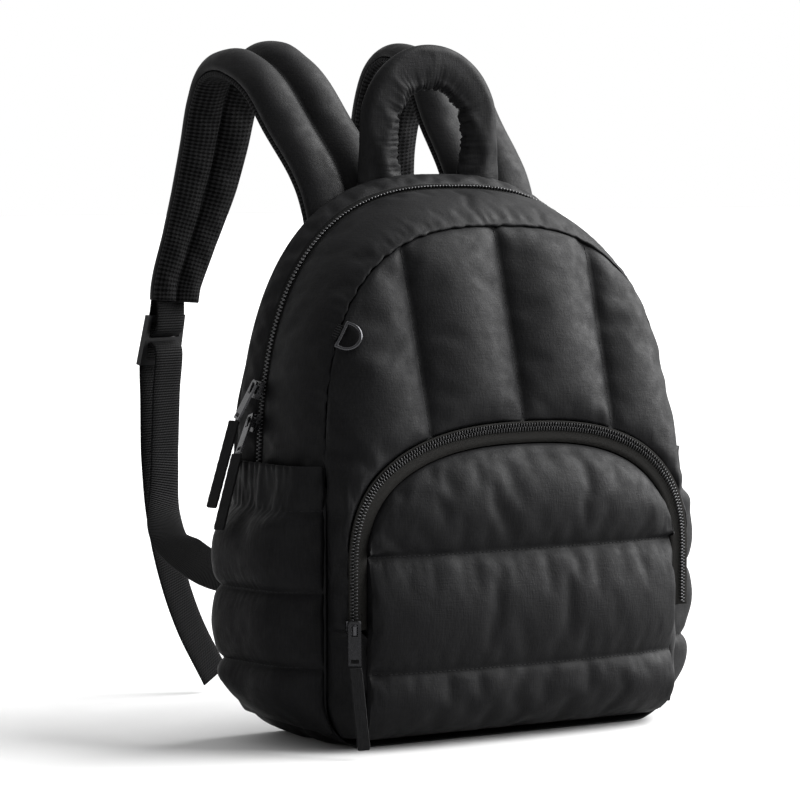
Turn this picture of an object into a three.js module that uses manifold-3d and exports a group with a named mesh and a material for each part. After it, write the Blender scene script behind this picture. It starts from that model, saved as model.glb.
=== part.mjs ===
// Quilted puffer backpack: padded panels, zips, side pockets, handle, shoulder straps and hardware.
// Millimetres, +Z up, the front faces -Y, and the origin is on the floor under the body's middle.
import * as THREE from 'three';
import { mergeVertices } from 'three/addons/utils/BufferGeometryUtils.js';
import Module from 'manifold-3d';

const wasm = await Module();
wasm.setup();

const { clamp, lerp, smoothstep, degToRad } = THREE.MathUtils;

// Body: an arch-shaped box, a little wider and taller at its back
const FRONT_HALF_WIDTH = 134;
const BACK_HALF_WIDTH = 142;
const SPRING_HEIGHT = 164;
const FRONT_APEX = 321;
const BACK_APEX = 352;
const ARCH_POWER = 2.7;
const CORNER_RADIUS = 30;
const BACK_CORNER_RADIUS = 45;
const FRONT_SEAM_Y = -46;
const BACK_SEAM_Y = 44;
const FRONT_LEAN = 22;
const SIDEWAYS_SETTLE = 10;
const PANEL_WALL = 3;
const MITRE_DEPTH = 26;
const SEAM_GAP = 0.2;

// Padding heights over the seams
const GUSSET_PUFF = 2.5;
const CHANNEL_PUFF = 9;
const BACK_PUFF = 5;
const BAND_PUFF = 5;
const STRIP_PUFF = 3;

// Front panel and front pocket
const QUILT_SEAM_X = 70;
const POCKET_ZIP_Y = -67;
const POCKET_HALF_WIDTH = 127;
const POCKET_SPRING = 112;
const POCKET_APEX = 195;
const POCKET_POWER = 2.5;
const POCKET_ZIP_END = 76;
const ZIP_OUTSIDE = 3.6;
const ZIP_INSIDE = 10;
const POCKET_BULGE = 12;
const UPPER_QUILT_Z = 120;
const LOWER_QUILT_Z = 48;
const POCKET_BOTTOM_Z = 5;
const SHEET_WALL = 1.5;

// Zips
const MAIN_ZIP_LEVEL = 0.74;
const MAIN_ZIP_HALF = 3.4;
const ZIP_THICKNESS = 2;

// Side pockets
const SIDE_POCKET_TOP = 175;
const ELASTIC_HEIGHT = 27;
const SIDE_POCKET_BULGE = 23;
const SIDE_POCKET_WALL = 5;
const SIDE_SEAM_UPPER_Z = 98;
const SIDE_SEAM_LOWER_Z = 52;
const GATHER_DEPTH = 1.4;
const MOUTH_BIAS = 0.6;

// Carry handle
const HANDLE_HALF_SPACING = 38;
const HANDLE_RISE = 80;
const HANDLE_WIDTH = 28;
const HANDLE_THICKNESS = 15;

// Shoulder straps and their webbing
const STRAP_WIDTH = 66;
const STRAP_PADDING = 8;
const STRAP_CHANNEL_PUFF = 4;
const MESH_THICKNESS = 4;
const WEBBING_WIDTH = 25;
const WEBBING_THICKNESS = 1.5;
const LOCK_HEIGHT = 34;
const LOCK_TILT = 13;
const LOCK_SIDE = 4.5;
const LOCK_BAR = 4;
const LOCK_TURN = 12;
const ANCHOR_TAB = 12;
const ANCHOR_THICKNESS = 3;

// Sliders, pulls and the D-ring
const SLIDER_WIDTH = 9;
const SLIDER_LENGTH = 11;
const SLIDER_HEIGHT = 4;
const PULL_WIDTH = 8;
const PULL_LENGTH = 27;
const PULL_THICKNESS = 1.4;
const TAB_WIDTH = 7.5;
const TAB_THICKNESS = 1.4;
const D_RING_WIDTH = 19;
const D_RING_WIRE = 2.8;
const RING_SHARE = 0.895;
const RING_CLEARANCE = 1.2;
const BRIDGE_WIDTH = 2;
const BRIDGE_HEIGHT = 4.5;

const nylon = { color: 0x1b1b1d, roughness: 0.62, metalness: 0 };
const mesh = { color: 0x161617, roughness: 0.85, metalness: 0 };
const webbing = { color: 0x1a1a1b, roughness: 0.7, metalness: 0 };
const coil = { color: 0x3a3a3d, roughness: 0.4, metalness: 0.3 };
const metal = { color: 0x47484c, roughness: 0.3, metalness: 1 };
const plastic = { color: 0x141415, roughness: 0.45, metalness: 0 };

const backpack = new THREE.Group();

function add(name, geometry, look) {
  const piece = new THREE.Mesh(geometry, new THREE.MeshStandardMaterial({ ...look }));
  piece.name = name;
  backpack.add(piece);
  return piece;
}

function vec(x, y, z) {
  return new THREE.Vector3(x, y, z);
}

function range(from, to, steps) {
  return Array.from({ length: steps + 1 }, (_, i) => lerp(from, to, i / steps));
}

// The filled bag has settled a little to its right above the pocket
function settled(p) {
  const t = clamp((p.z - SPRING_HEIGHT) / (FRONT_APEX + 20 - SPRING_HEIGHT), 0, 1);
  return vec(p.x + SIDEWAYS_SETTLE * t, p.y, p.z);
}

// A closed solid between two matching grids of points, turned so that its faces look outward
function slab(outer, inner) {
  const rows = outer.length;
  const cols = outer[0].length;
  const positions = [...outer.flat(), ...inner.flat()].map(settled).flatMap((p) => [p.x, p.y, p.z]);
  const index = [];
  const at = (side, i, j) => side * rows * cols + i * cols + j;
  const quad = (a, b, c, d) => index.push(a, b, c, a, c, d);
  for (let i = 0; i < rows - 1; i += 1) {
    for (let j = 0; j < cols - 1; j += 1) {
      quad(at(0, i, j), at(0, i + 1, j), at(0, i + 1, j + 1), at(0, i, j + 1));
      quad(at(1, i, j), at(1, i, j + 1), at(1, i + 1, j + 1), at(1, i + 1, j));
    }
  }
  for (let i = 0; i < rows - 1; i += 1) {
    quad(at(0, i, 0), at(1, i, 0), at(1, i + 1, 0), at(0, i + 1, 0));
    quad(at(0, i + 1, cols - 1), at(1, i + 1, cols - 1), at(1, i, cols - 1), at(0, i, cols - 1));
  }
  for (let j = 0; j < cols - 1; j += 1) {
    quad(at(0, 0, j + 1), at(1, 0, j + 1), at(1, 0, j), at(0, 0, j));
    quad(at(0, rows - 1, j), at(1, rows - 1, j), at(1, rows - 1, j + 1), at(0, rows - 1, j + 1));
  }
  return outward(positions, index);
}

// A closed tube through rings of points, with flat ends
function tube(rings) {
  const count = rings[0].length;
  const middles = [rings[0], rings.at(-1)].map((ring) =>
    ring.reduce((sum, p) => sum.add(p), vec(0, 0, 0)).divideScalar(count));
  const positions = [...rings.flat(), ...middles].map(settled).flatMap((p) => [p.x, p.y, p.z]);
  const index = [];
  for (let i = 0; i < rings.length - 1; i += 1) {
    for (let j = 0; j < count; j += 1) {
      const k = (j + 1) % count;
      const [a, b] = [i * count + j, i * count + k];
      index.push(a, b, b + count, a, b + count, a + count);
    }
  }
  const last = (rings.length - 1) * count;
  const first = rings.length * count;
  for (let j = 0; j < count; j += 1) {
    const k = (j + 1) % count;
    index.push(first, k, j, first + 1, last + j, last + k);
  }
  return outward(positions, index);
}

function outward(positions, index) {
  let volume = 0;
  const [a, b, c] = [vec(0, 0, 0), vec(0, 0, 0), vec(0, 0, 0)];
  for (let i = 0; i < index.length; i += 3) {
    a.fromArray(positions, index[i] * 3);
    b.fromArray(positions, index[i + 1] * 3);
    c.fromArray(positions, index[i + 2] * 3);
    volume += a.dot(b.cross(c));
  }
  const geometry = new THREE.BufferGeometry();
  geometry.setAttribute('position', new THREE.Float32BufferAttribute(positions, 3));
  geometry.setIndex(volume > 0 ? index : index.reverse());
  return geometry;
}

// Body outline at one level (0 front seam, 1 back seam). q runs 0 to 1 along half the base,
// to 2 round the corner, to 3 up the side and to 4 over the arch; its sign is the side.
const halfWidthAt = (level) => lerp(FRONT_HALF_WIDTH, BACK_HALF_WIDTH, level);
const apexAt = (level) => lerp(FRONT_APEX, BACK_APEX, level);
const cornerAt = (level) => lerp(CORNER_RADIUS, BACK_CORNER_RADIUS, level);

function outline(level, q) {
  const side = q < 0 ? -1 : 1;
  const k = Math.abs(q);
  const width = halfWidthAt(level);
  const rise = apexAt(level) - SPRING_HEIGHT;
  const r = cornerAt(level);
  if (k <= 1) return { x: side * (width - r) * k, z: 0 };
  if (k <= 2) {
    const a = (k - 1) * Math.PI / 2;
    return { x: side * (width - r + r * Math.sin(a)), z: r - r * Math.cos(a) };
  }
  if (k <= 3) return { x: side * width, z: lerp(r, SPRING_HEIGHT, k - 2) };
  const a = Math.min(k - 3, 1) * Math.PI / 2;
  const x = k >= 4 ? 0 : width * Math.cos(a) ** (2 / ARCH_POWER);
  return { x: side * x, z: SPRING_HEIGHT + rise * Math.sin(a) ** (2 / ARCH_POWER) };
}

const frontY = (z) => FRONT_SEAM_Y + FRONT_LEAN * clamp((z - SPRING_HEIGHT) / (FRONT_APEX - SPRING_HEIGHT), 0, 1);
const skinY = (level, z) => lerp(frontY(z), BACK_SEAM_Y, level);

function skin(level, q) {
  const { x, z } = outline(level, q);
  return vec(x, skinY(level, z), z);
}

// Towards the core of the bag: seams that meet share this direction, so their walls meet in a mitre
function inward(p) {
  const level = clamp((p.y - frontY(p.z)) / (BACK_SEAM_Y - frontY(p.z)), 0, 1);
  const width = halfWidthAt(level);
  const rise = apexAt(level) - SPRING_HEIGHT;
  const target = p.clone();
  target.y = clamp(p.y, frontY(p.z) + MITRE_DEPTH, BACK_SEAM_Y - MITRE_DEPTH);
  if (p.z <= SPRING_HEIGHT) {
    target.x = clamp(p.x, MITRE_DEPTH - width, width - MITRE_DEPTH);
    target.z = Math.max(p.z, MITRE_DEPTH);
  } else {
    const u = Math.abs(p.x) / width;
    const v = (p.z - SPRING_HEIGHT) / rise;
    const radius = (u ** ARCH_POWER + v ** ARCH_POWER) ** (1 / ARCH_POWER);
    const share = Math.min(1, (1 - MITRE_DEPTH / width) / radius);
    target.x = p.x * share;
    target.z = SPRING_HEIGHT + (p.z - SPRING_HEIGHT) * share;
  }
  return target.sub(p).normalize();
}

// A padded panel from a grid of skin points: raised by puff, with its wall behind it
function panel(points, puff, wall = PANEL_WALL) {
  const outer = points.map((row, i) => row.map((p, j) => p.clone().addScaledVector(inward(p), -puff(i, j))));
  const inner = points.map((row) => row.map((p) => p.clone().addScaledVector(inward(p), wall)));
  return slab(outer, inner);
}

const pillow = (share, power = 2.4) => 1 - Math.abs(2 * clamp(share, 0, 1) - 1) ** power;

// Levels that leave a gap in millimetres beside a seam
const levelGap = (z) => 1 / (BACK_SEAM_Y - frontY(z));

function gussetStrip(qs, fromLevel, toLevel, steps, puffHeight) {
  const points = qs.map((q) => {
    const z = outline(0.5, q).z;
    return range(fromLevel(z), toLevel(z), steps).map((level) => skin(level, q));
  });
  const ends = qs.length - 1;
  const puff = (i, j) => {
    const base = points[i][j].z < 1;
    const nearEnd = Math.min(i, ends - i) === 0;
    return base || nearEnd ? 0 : puffHeight * pillow(j / steps);
  };
  return panel(points, puff);
}

const seamFront = (z) => SEAM_GAP * levelGap(z);
const seamBack = (z) => 1 - SEAM_GAP * levelGap(z);
const zipFront = (z) => MAIN_ZIP_LEVEL - (MAIN_ZIP_HALF + SEAM_GAP) * levelGap(z);
const zipBack = (z) => MAIN_ZIP_LEVEL + (MAIN_ZIP_HALF + SEAM_GAP) * levelGap(z);

// Places along every arch, as shares of its half width, from the spring to the apex.
// All arches use them, so the facets of pieces that meet line up.
const quiltShare = QUILT_SEAM_X / (POCKET_HALF_WIDTH + ZIP_OUTSIDE);
const archShares = [1, 0.995, 0.98, 0.95, 0.9, 0.83, 0.75, 0.65, 1, 0.8, 0.55, 0.28, 0]
  .map((share, i) => (i < 8 ? share : share * quiltShare));
const shareToQ = (share) => 3 + Math.acos(Math.min(1, share ** (ARCH_POWER / 2))) / (Math.PI / 2);
const overArch = [
  ...archShares.map((share) => -shareToQ(share)),
  ...archShares.slice(0, -1).reverse().map((share) => shareToQ(share)),
];
const underEnd = 3 - 2.5 * SEAM_GAP / (SPRING_HEIGHT - CORNER_RADIUS);
const rightUnder = [0, 0.5, 1, 1.25, 1.5, 1.75, 2, 2.25, 2.5, 2.75, underEnd];
const aroundBase = [...rightUnder.slice(1).reverse().map((q) => -q), ...rightUnder];

add('gusset_base', gussetStrip(aroundBase, seamFront, seamBack, 5, GUSSET_PUFF), nylon);
add('gusset_front', gussetStrip(overArch, seamFront, zipFront, 4, GUSSET_PUFF), nylon);
add('gusset_back', gussetStrip(overArch, zipBack, seamBack, 2, GUSSET_PUFF * 0.6), nylon);

function mainZip() {
  const outer = overArch.map((q) => [-1, 0, 1].map((side) => {
    const z = outline(0.5, q).z;
    return skin(MAIN_ZIP_LEVEL + side * MAIN_ZIP_HALF * levelGap(z), q);
  }));
  const rise = (j) => (j === 1 ? 1 : 0);
  return panel(outer, (i, j) => rise(j), ZIP_THICKNESS);
}
add('main_zip', mainZip(), coil);

// An arch of the front pocket, moved in by some millimetres: height at x, and half width at z
function pocketArch(inset) {
  const width = POCKET_HALF_WIDTH - inset;
  const rise = POCKET_APEX - POCKET_SPRING - inset;
  return {
    width,
    top: (x) => POCKET_SPRING + rise * (1 - Math.min(1, Math.abs(x) / width) ** POCKET_POWER) ** (1 / POCKET_POWER),
  };
}
const bodyTop = (x) => SPRING_HEIGHT + (FRONT_APEX - SPRING_HEIGHT)
  * (1 - Math.min(1, Math.abs(x) / FRONT_HALF_WIDTH) ** ARCH_POWER) ** (1 / ARCH_POWER);

// Front panel: ribs from the body seam to the pocket zip, first up one side, then over, then down
const cornerHeight = (q) => outline(0, q).z;
const sideHeights = [cornerHeight(1.5), cornerHeight(1.75), CORNER_RADIUS, 52, POCKET_ZIP_END - 1, POCKET_ZIP_END - 0.5, 95];
const ribsOneSide = [
  ...sideHeights.map((z) => ({ z })),
  ...archShares.slice(0, -1).map((share) => ({ share })),
];
const frontRibs = [
  ...ribsOneSide.map((rib) => ({ ...rib, side: -1 })),
  { share: 0, side: 1 },
  ...ribsOneSide.map((rib) => ({ ...rib, side: 1 })).reverse(),
];
const ACROSS_STEPS = 5;

function ribEnds(rib) {
  const zipEdge = pocketArch(-ZIP_OUTSIDE - SEAM_GAP);
  const tapeEdge = pocketArch(ZIP_INSIDE - SEAM_GAP);
  if (rib.share === undefined) {
    const edge = rib.z < POCKET_ZIP_END - 0.7 ? tapeEdge : zipEdge;
    const foot = Math.max(0, CORNER_RADIUS - rib.z);
    const roundIn = CORNER_RADIUS - Math.sqrt(CORNER_RADIUS ** 2 - foot ** 2);
    const seam = vec(rib.side * (FRONT_HALF_WIDTH - roundIn), frontY(rib.z), rib.z);
    return [seam, pocketPoint(rib.side * edge.width, rib.z)];
  }
  const x = rib.share * FRONT_HALF_WIDTH;
  const top = bodyTop(x);
  return [vec(rib.side * x, frontY(top), top), onArch(zipEdge, rib.side * rib.share)];
}

// A point of a pocket arch at a share of its half width
function onArch(edge, share) {
  return pocketPoint(share * edge.width, edge.top(share * edge.width));
}

// The pocket's surface at its edge: the zip stands in front of the body seam and rounds under
function pocketPoint(x, z) {
  const foot = clamp(1 - z / CORNER_RADIUS, 0, 1);
  return vec(x * (1 - 0.06 * foot ** 2), lerp(POCKET_ZIP_Y, FRONT_SEAM_Y - 4, foot ** 2), z);
}

function channelPuff(rib) {
  if (rib.share === undefined) return STRIP_PUFF;
  if (rib.share < quiltShare) return CHANNEL_PUFF * pillow(rib.share / quiltShare, 2) ** 0.7;
  const across = (rib.share - quiltShare) / (1 - quiltShare);
  const raised = CHANNEL_PUFF * pillow(across * 0.5, 2) ** 0.7;
  return lerp(raised, STRIP_PUFF, smoothstep(across, 0.35, 0.9));
}

function frontPanel() {
  const points = frontRibs.map((rib) => {
    const [seam, zip] = ribEnds(rib);
    const length = seam.distanceTo(zip);
    return range(SEAM_GAP / length, 1, ACROSS_STEPS).map((v) => seam.clone().lerp(zip, v));
  });
  const puff = (i, j) => channelPuff(frontRibs[i]) * pillow(j / ACROSS_STEPS, 3);
  return panel(points, puff);
}
add('front_panel', frontPanel(), nylon);

function pocketZip() {
  const edges = [pocketArch(-ZIP_OUTSIDE), pocketArch(0), pocketArch(ZIP_INSIDE - 2 * SEAM_GAP)];
  const left = [
    ...[POCKET_ZIP_END, 95].map((z) => ({ z, side: -1 })),
    ...archShares.slice(0, -1).map((share) => ({ share, side: -1 })),
  ];
  const stations = [...left, { share: 0, side: 1 }, ...left.map((s) => ({ ...s, side: 1 })).reverse()];
  const points = stations.map((s) => edges.map((edge) => (s.z !== undefined
    ? pocketPoint(s.side * edge.width, s.z)
    : onArch(edge, s.side * s.share))));
  return panel(points, (i, j) => (j === 1 ? 1 : 0), ZIP_THICKNESS);
}
add('pocket_zip', pocketZip(), coil);

// Pocket panel: columns across, rows in three bands between its horizontal quilt seams
const pocketColumns = [...archShares.map((share) => -share), ...archShares.slice(0, -1).reverse()];
const bandRows = [
  { from: 'bottom', to: 'lower', steps: 4 },
  { from: 'lower', to: 'upper', steps: 3 },
  { from: 'upper', to: 'top', steps: 3 },
];

function pocketRows(column, edge) {
  const x = column * edge.width;
  const heights = {
    bottom: POCKET_BOTTOM_Z,
    lower: LOWER_QUILT_Z,
    upper: UPPER_QUILT_Z,
    top: Math.max(edge.top(x), UPPER_QUILT_Z + 2),
  };
  return bandRows.flatMap((band, b) => range(heights[band.from], heights[band.to], band.steps)
    .slice(b === 0 ? 0 : 1)
    .map((z, k) => ({ z, share: (k + (b === 0 ? 0 : 1)) / band.steps })));
}

function pocketPanel() {
  const edge = pocketArch(ZIP_INSIDE + SEAM_GAP);
  const shares = [];
  const points = pocketColumns.map((column) => {
    const rows = pocketRows(column, edge);
    shares.push(rows.map((row) => row.share));
    return rows.map((row) => {
      const p = pocketPoint(column * edge.width, row.z);
      const rise = pillow((row.z - POCKET_BOTTOM_Z) / (edge.top(column * edge.width) - POCKET_BOTTOM_Z), 4);
      p.y -= POCKET_BULGE * rise * (1 - Math.abs(column) ** 3);
      if (row.z === POCKET_BOTTOM_Z) p.y = lerp(POCKET_ZIP_Y, FRONT_SEAM_Y, 0.7);
      return p;
    });
  });
  const puff = (i, j) => (Math.abs(pocketColumns[i]) === 1 ? 0 : BAND_PUFF * pillow(shares[i][j], 2) ** 0.7);
  return panel(points, puff);
}
add('pocket_panel', pocketPanel(), nylon);

// Pocket back wall: plain cloth behind the pocket zip, hanging inside the body
function pocketBackWall() {
  const edge = pocketArch(ZIP_INSIDE + 1);
  const columns = pocketColumns.filter((column, i) => i % 2 === 0);
  const front = columns.map((column) => {
    const top = Math.max(edge.top(column * edge.width), UPPER_QUILT_Z + 2);
    return range(CORNER_RADIUS * 0.6, top, 6).map((z) => {
      const rim = pocketPoint(column * edge.width, z);
      rim.addScaledVector(inward(rim), PANEL_WALL + 0.6);
      const across = 1 - Math.abs(column) ** 3;
      const up = pillow((z - CORNER_RADIUS * 0.6) / (top - CORNER_RADIUS * 0.6), 4);
      rim.y += (FRONT_SEAM_Y - POCKET_ZIP_Y) * 0.8 * across * up;
      return rim;
    });
  });
  const back = front.map((row) => row.map((p) => p.clone().addScaledVector(inward(p), SHEET_WALL)));
  return slab(front, back);
}
add('pocket_back_wall', pocketBackWall(), nylon);

// Back panel: columns across the back seam's arch
function backPanel() {
  const width = BACK_HALF_WIDTH - 4 * SEAM_GAP;
  const top = (x) => SPRING_HEIGHT + (BACK_APEX - 4 * SEAM_GAP - SPRING_HEIGHT)
    * (1 - Math.min(1, Math.abs(x) / width) ** ARCH_POWER) ** (1 / ARCH_POWER);
  const foot = (x) => {
    const over = Math.max(0, Math.abs(x) - (width - BACK_CORNER_RADIUS));
    return 4 * SEAM_GAP + BACK_CORNER_RADIUS - Math.sqrt(Math.max(0, BACK_CORNER_RADIUS ** 2 - over ** 2));
  };
  const columns = pocketColumns;
  const points = columns.map((column) => {
    const x = column * width;
    return range(foot(x), top(x), 10).map((z) => vec(x, BACK_SEAM_Y, z));
  });
  const puff = (i, j) => BACK_PUFF * (1 - Math.abs(columns[i]) ** 6) * pillow(j / 10, 4);
  return panel(points, puff);
}
add('back_panel', backPanel(), nylon);

// Side pockets: a bulging wall that stands off the gusset, open at the top
const elasticFoot = SIDE_POCKET_TOP - ELASTIC_HEIGHT;
const sideRows = [
  { q: 1.55, bulge: 0 },
  { q: 1.75, bulge: 0.3 },
  { q: 1.93, bulge: 0.6 },
  { z: 0.5 * (SIDE_SEAM_LOWER_Z + CORNER_RADIUS), bulge: 0.84 },
  { z: SIDE_SEAM_LOWER_Z, bulge: 0.76 },
  { z: 0.5 * (SIDE_SEAM_LOWER_Z + SIDE_SEAM_UPPER_Z), bulge: 1 },
  { z: SIDE_SEAM_UPPER_Z, bulge: 0.86 },
  { z: lerp(SIDE_SEAM_UPPER_Z, elasticFoot, 0.35), bulge: 1 },
  { z: lerp(SIDE_SEAM_UPPER_Z, elasticFoot, 0.75), bulge: 0.84 },
  { z: elasticFoot, bulge: 0.46, gather: 0.4 },
  { z: SIDE_POCKET_TOP - 0.5 * ELASTIC_HEIGHT, bulge: 0.34, gather: 1 },
  { z: SIDE_POCKET_TOP, bulge: 0.32, gather: 1 },
];
const SIDE_COLUMNS = 12;

function sidePoint(side, level, row) {
  const q = row.q ?? 2 + (row.z - cornerAt(level)) / (SPRING_HEIGHT - cornerAt(level));
  const at = q <= 3 ? outline(level, q) : { x: halfWidthAt(level), z: row.z };
  const normal = vec(side, 0, 0);
  return { p: vec(side * at.x, skinY(level, at.z), at.z), normal };
}

function sidePocket(side) {
  const levels = range(0.02, 0.98, SIDE_COLUMNS);
  const clearOf = (level) => GUSSET_PUFF * pillow(level) + 0.4;
  const make = (offset) => sideRows.map((row) => levels.map((level, j) => {
    const { p, normal } = sidePoint(side, level, row);
    const wave = (row.gather ?? 0) * GATHER_DEPTH * (j % 2 === 0 ? 1 : -1);
    const mouth = row.gather ? 1 + MOUTH_BIAS * (1 - 2 * level) : 1;
    const inner = clearOf(level) + mouth * row.bulge * SIDE_POCKET_BULGE * pillow(j / SIDE_COLUMNS, 6)
      + wave * pillow(j / SIDE_COLUMNS, 8);
    return p.addScaledVector(normal, inner + offset);
  }));
  return slab(make(SIDE_POCKET_WALL), make(0));
}
add('side_pocket_left', sidePocket(-1), nylon);
add('side_pocket_right', sidePocket(1), nylon);

// Elliptical rings round a path: a station has a middle, two axes and two half sizes
function ring({ middle, across, out, halfWidth, halfThickness }, count) {
  return range(0, 2 * Math.PI, count).slice(0, -1).map((a) => middle.clone()
    .addScaledVector(across, halfWidth * Math.cos(a))
    .addScaledVector(out, halfThickness * Math.sin(a)));
}

// Carry handle: a padded tube over the back's top edge, wider where it is sewn down
function carryHandle() {
  const base = BACK_APEX - 12;
  const rise = HANDLE_RISE;
  const y = BACK_SEAM_Y + 6;
  const bend = HANDLE_HALF_SPACING;
  const straight = rise - bend;
  const stations = [
    ...range(0, 1, 4).map((t) => ({ x: -bend, z: base + straight * t, tangent: 0, foot: 1 - t })),
    ...range(0, Math.PI, 8).slice(1, -1).map((a) => ({
      x: -bend * Math.cos(a), z: base + straight + bend * Math.sin(a), tangent: a, foot: 0,
    })),
    ...range(0, 1, 4).map((t) => ({ x: bend, z: base + straight * (1 - t), tangent: Math.PI, foot: t })),
  ];
  return tube(stations.map(({ x, z, tangent, foot }) => ring({
    middle: vec(x, y, z),
    across: vec(Math.cos(tangent), 0, -Math.sin(tangent)),
    out: vec(0, 1, 0),
    halfWidth: HANDLE_WIDTH / 2 * (1 + 0.35 * foot ** 2),
    halfThickness: HANDLE_THICKNESS / 2 * (1 - 0.45 * foot ** 2),
  }, 10)));
}
add('carry_handle', carryHandle(), nylon);

// Shoulder strap: middle line from its seat on the back panel, up and over, down to its sewn end.
// Each row gives the place, the width as a share of the strap's, how far the strap tips sideways and
// how full its padding is.
const strapSeat = BACK_SEAM_Y + BACK_PUFF + STRAP_PADDING - 1;
const strapRows = [
  { x: -55, y: strapSeat, z: 304, width: 0.98, tip: 0, pad: 0 },
  { x: -56, y: strapSeat + 2.5, z: 324, width: 1, tip: 0, pad: 0.1 },
  { x: -58, y: strapSeat + 15, z: 350, width: 1, tip: 2, pad: 0.6 },
  { x: -61, y: 100, z: 382, width: 0.98, tip: 4, pad: 1 },
  { x: -64, y: 124, z: 409, width: 0.94, tip: 7, pad: 1 },
  { x: -66, y: 145, z: 421, width: 0.9, tip: 11, pad: 1 },
  { x: -67, y: 163, z: 424, width: 0.87, tip: 11, pad: 1 },
  { x: -67, y: 181, z: 417, width: 0.84, tip: 8, pad: 1 },
  { x: -67, y: 194, z: 398, width: 0.8, tip: 5, pad: 1 },
  { x: -68, y: 203, z: 370, width: 0.76, tip: 3, pad: 1 },
  { x: -73, y: 209, z: 338, width: 0.7, tip: 3, pad: 0.9 },
  { x: -80, y: 213, z: 306, width: 0.6, tip: 4, pad: 0.7 },
  { x: -87, y: 215, z: 278, width: 0.54, tip: 5, pad: 0.4 },
  { x: -88, y: 215, z: 266, width: 0.52, tip: 5, pad: 0.1 },
];

function strapStations(side) {
  const curve = new THREE.CatmullRomCurve3(strapRows.map((row) => vec(row.x, row.y, row.z)));
  const steps = 18;
  return range(0, 1, steps).map((t) => {
    const at = t * (strapRows.length - 1);
    const [a, b] = [strapRows[Math.floor(at)], strapRows[Math.min(Math.floor(at) + 1, strapRows.length - 1)]];
    const mix = at - Math.floor(at);
    const along = curve.getTangent(t);
    const tip = degToRad(lerp(a.tip, b.tip, mix));
    const middle = curve.getPoint(t);
    const across = vec(Math.cos(tip), 0, Math.sin(tip));
    across.addScaledVector(along, -across.dot(along)).normalize();
    const out = vec(0, 0, 0).crossVectors(across, along);
    middle.x *= -side;
    across.x *= -side;
    out.x *= -side;
    return {
      middle, across, out, halfWidth: STRAP_WIDTH / 2 * lerp(a.width, b.width, mix), pad: lerp(a.pad, b.pad, mix),
    };
  });
}

// Two padded channels side by side, flat towards the other layer
function strapLayer(side, thickness, puff, from) {
  const shares = range(-1, 1, 8);
  const stations = strapStations(side);
  const make = (height) => stations.map((s, i) => shares.map((share, j) => s.middle.clone()
    .addScaledVector(s.across, s.halfWidth * share)
    .addScaledVector(s.out, height(i, j))));
  const lift = (i, j) => stations[i].pad * pillow((j % 4) / 4, 2);
  return slab(make((i, j) => from + Math.sign(from) * (thickness + puff * lift(i, j))), make(() => from));
}

// Flat webbing through a list of stations with a middle and an across direction
function webbingStrip(stations, width = WEBBING_WIDTH, thickness = WEBBING_THICKNESS) {
  const make = (offset) => stations.map((s) => [-0.5, 0.5].map((share) => s.middle.clone()
    .addScaledVector(s.across, share * width)
    .addScaledVector(s.out, offset)));
  return slab(make(thickness / 2), make(-thickness / 2));
}

function webbingStations(rows, side) {
  const curve = new THREE.CatmullRomCurve3(rows.map((row) => vec(row.x, row.y, row.z)));
  const steps = (rows.length - 1) * 2;
  return range(0, 1, steps).map((t) => {
    const at = t * (rows.length - 1);
    const [a, b] = [rows[Math.floor(at)], rows[Math.min(Math.floor(at) + 1, rows.length - 1)]];
    const turn = degToRad(lerp(a.turn, b.turn, at - Math.floor(at)));
    const along = curve.getTangent(t);
    const stand = degToRad(lerp(a.stand ?? 0, b.stand ?? 0, at - Math.floor(at)));
    const across = vec(Math.cos(turn) * Math.cos(stand), Math.sin(turn) * Math.cos(stand), Math.sin(stand));
    across.addScaledVector(along, -across.dot(along)).normalize();
    const out = vec(0, 0, 0).crossVectors(along, across).normalize();
    const middle = curve.getPoint(t);
    middle.x *= -side;
    across.x *= -side;
    out.x *= -side;
    return { middle, across, out };
  });
}

// Routes of the webbing on the left side: the place of its middle, the turn of its width
// about Z and how far the width stands up.
// Through the lock it keeps to one face of the cross bars.
const strapEnd = strapRows.at(-1);
const lock = { x: strapEnd.x - 4, y: strapEnd.y + 3, top: strapEnd.z - 9 };
lock.foot = lock.top - LOCK_HEIGHT * Math.cos(degToRad(LOCK_TILT));
lock.swing = LOCK_HEIGHT * Math.sin(degToRad(LOCK_TILT));
const lockFace = (LOCK_BAR + WEBBING_THICKNESS) / 2 + 0.3;
const lockRow = (out, z, drop = 0) => ({
  x: lock.x - out * Math.sin(degToRad(LOCK_TURN)) + drop,
  y: lock.y + out * Math.cos(degToRad(LOCK_TURN)),
  z,
  turn: LOCK_TURN,
});
const anchorSeat = BACK_SEAM_Y + BACK_PUFF / 2 + 0.5;
const upperRoute = [
  lockRow(-lockFace, strapEnd.z - 1.4),
  lockRow(-lockFace, lock.foot + LOCK_HEIGHT / 2 + 4),
];
const anchorRoute = [
  lockRow(-lockFace, lock.foot + LOCK_HEIGHT / 2 - 4),
  lockRow(-lockFace, 205),
  lockRow(-lockFace - 1, 160),
  { x: lock.x - 4, y: 207, z: 130, turn: 8 },
  { x: lock.x - 16, y: 182, z: 113, turn: 0, stand: 10 },
  { x: -121, y: 136, z: 105, turn: 0, stand: 50 },
  { x: -128.5, y: 94, z: 99.5, turn: 0, stand: 80 },
  { x: -129, y: anchorSeat + ANCHOR_TAB + 0.7, z: 99, turn: 0, stand: 90 },
];
const tailRoute = [
  lockRow(lockFace + lock.swing + 0.3, lock.foot + LOCK_BAR / 2),
  lockRow(lockFace + lock.swing - 2, 200),
  lockRow(lockFace + 4, 165, 1),
  lockRow(lockFace + 3, 125, 4),
  lockRow(lockFace + 3, 85, 13),
  lockRow(lockFace + 2, 48, 26),
  lockRow(lockFace, 11, 45),
];

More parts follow.
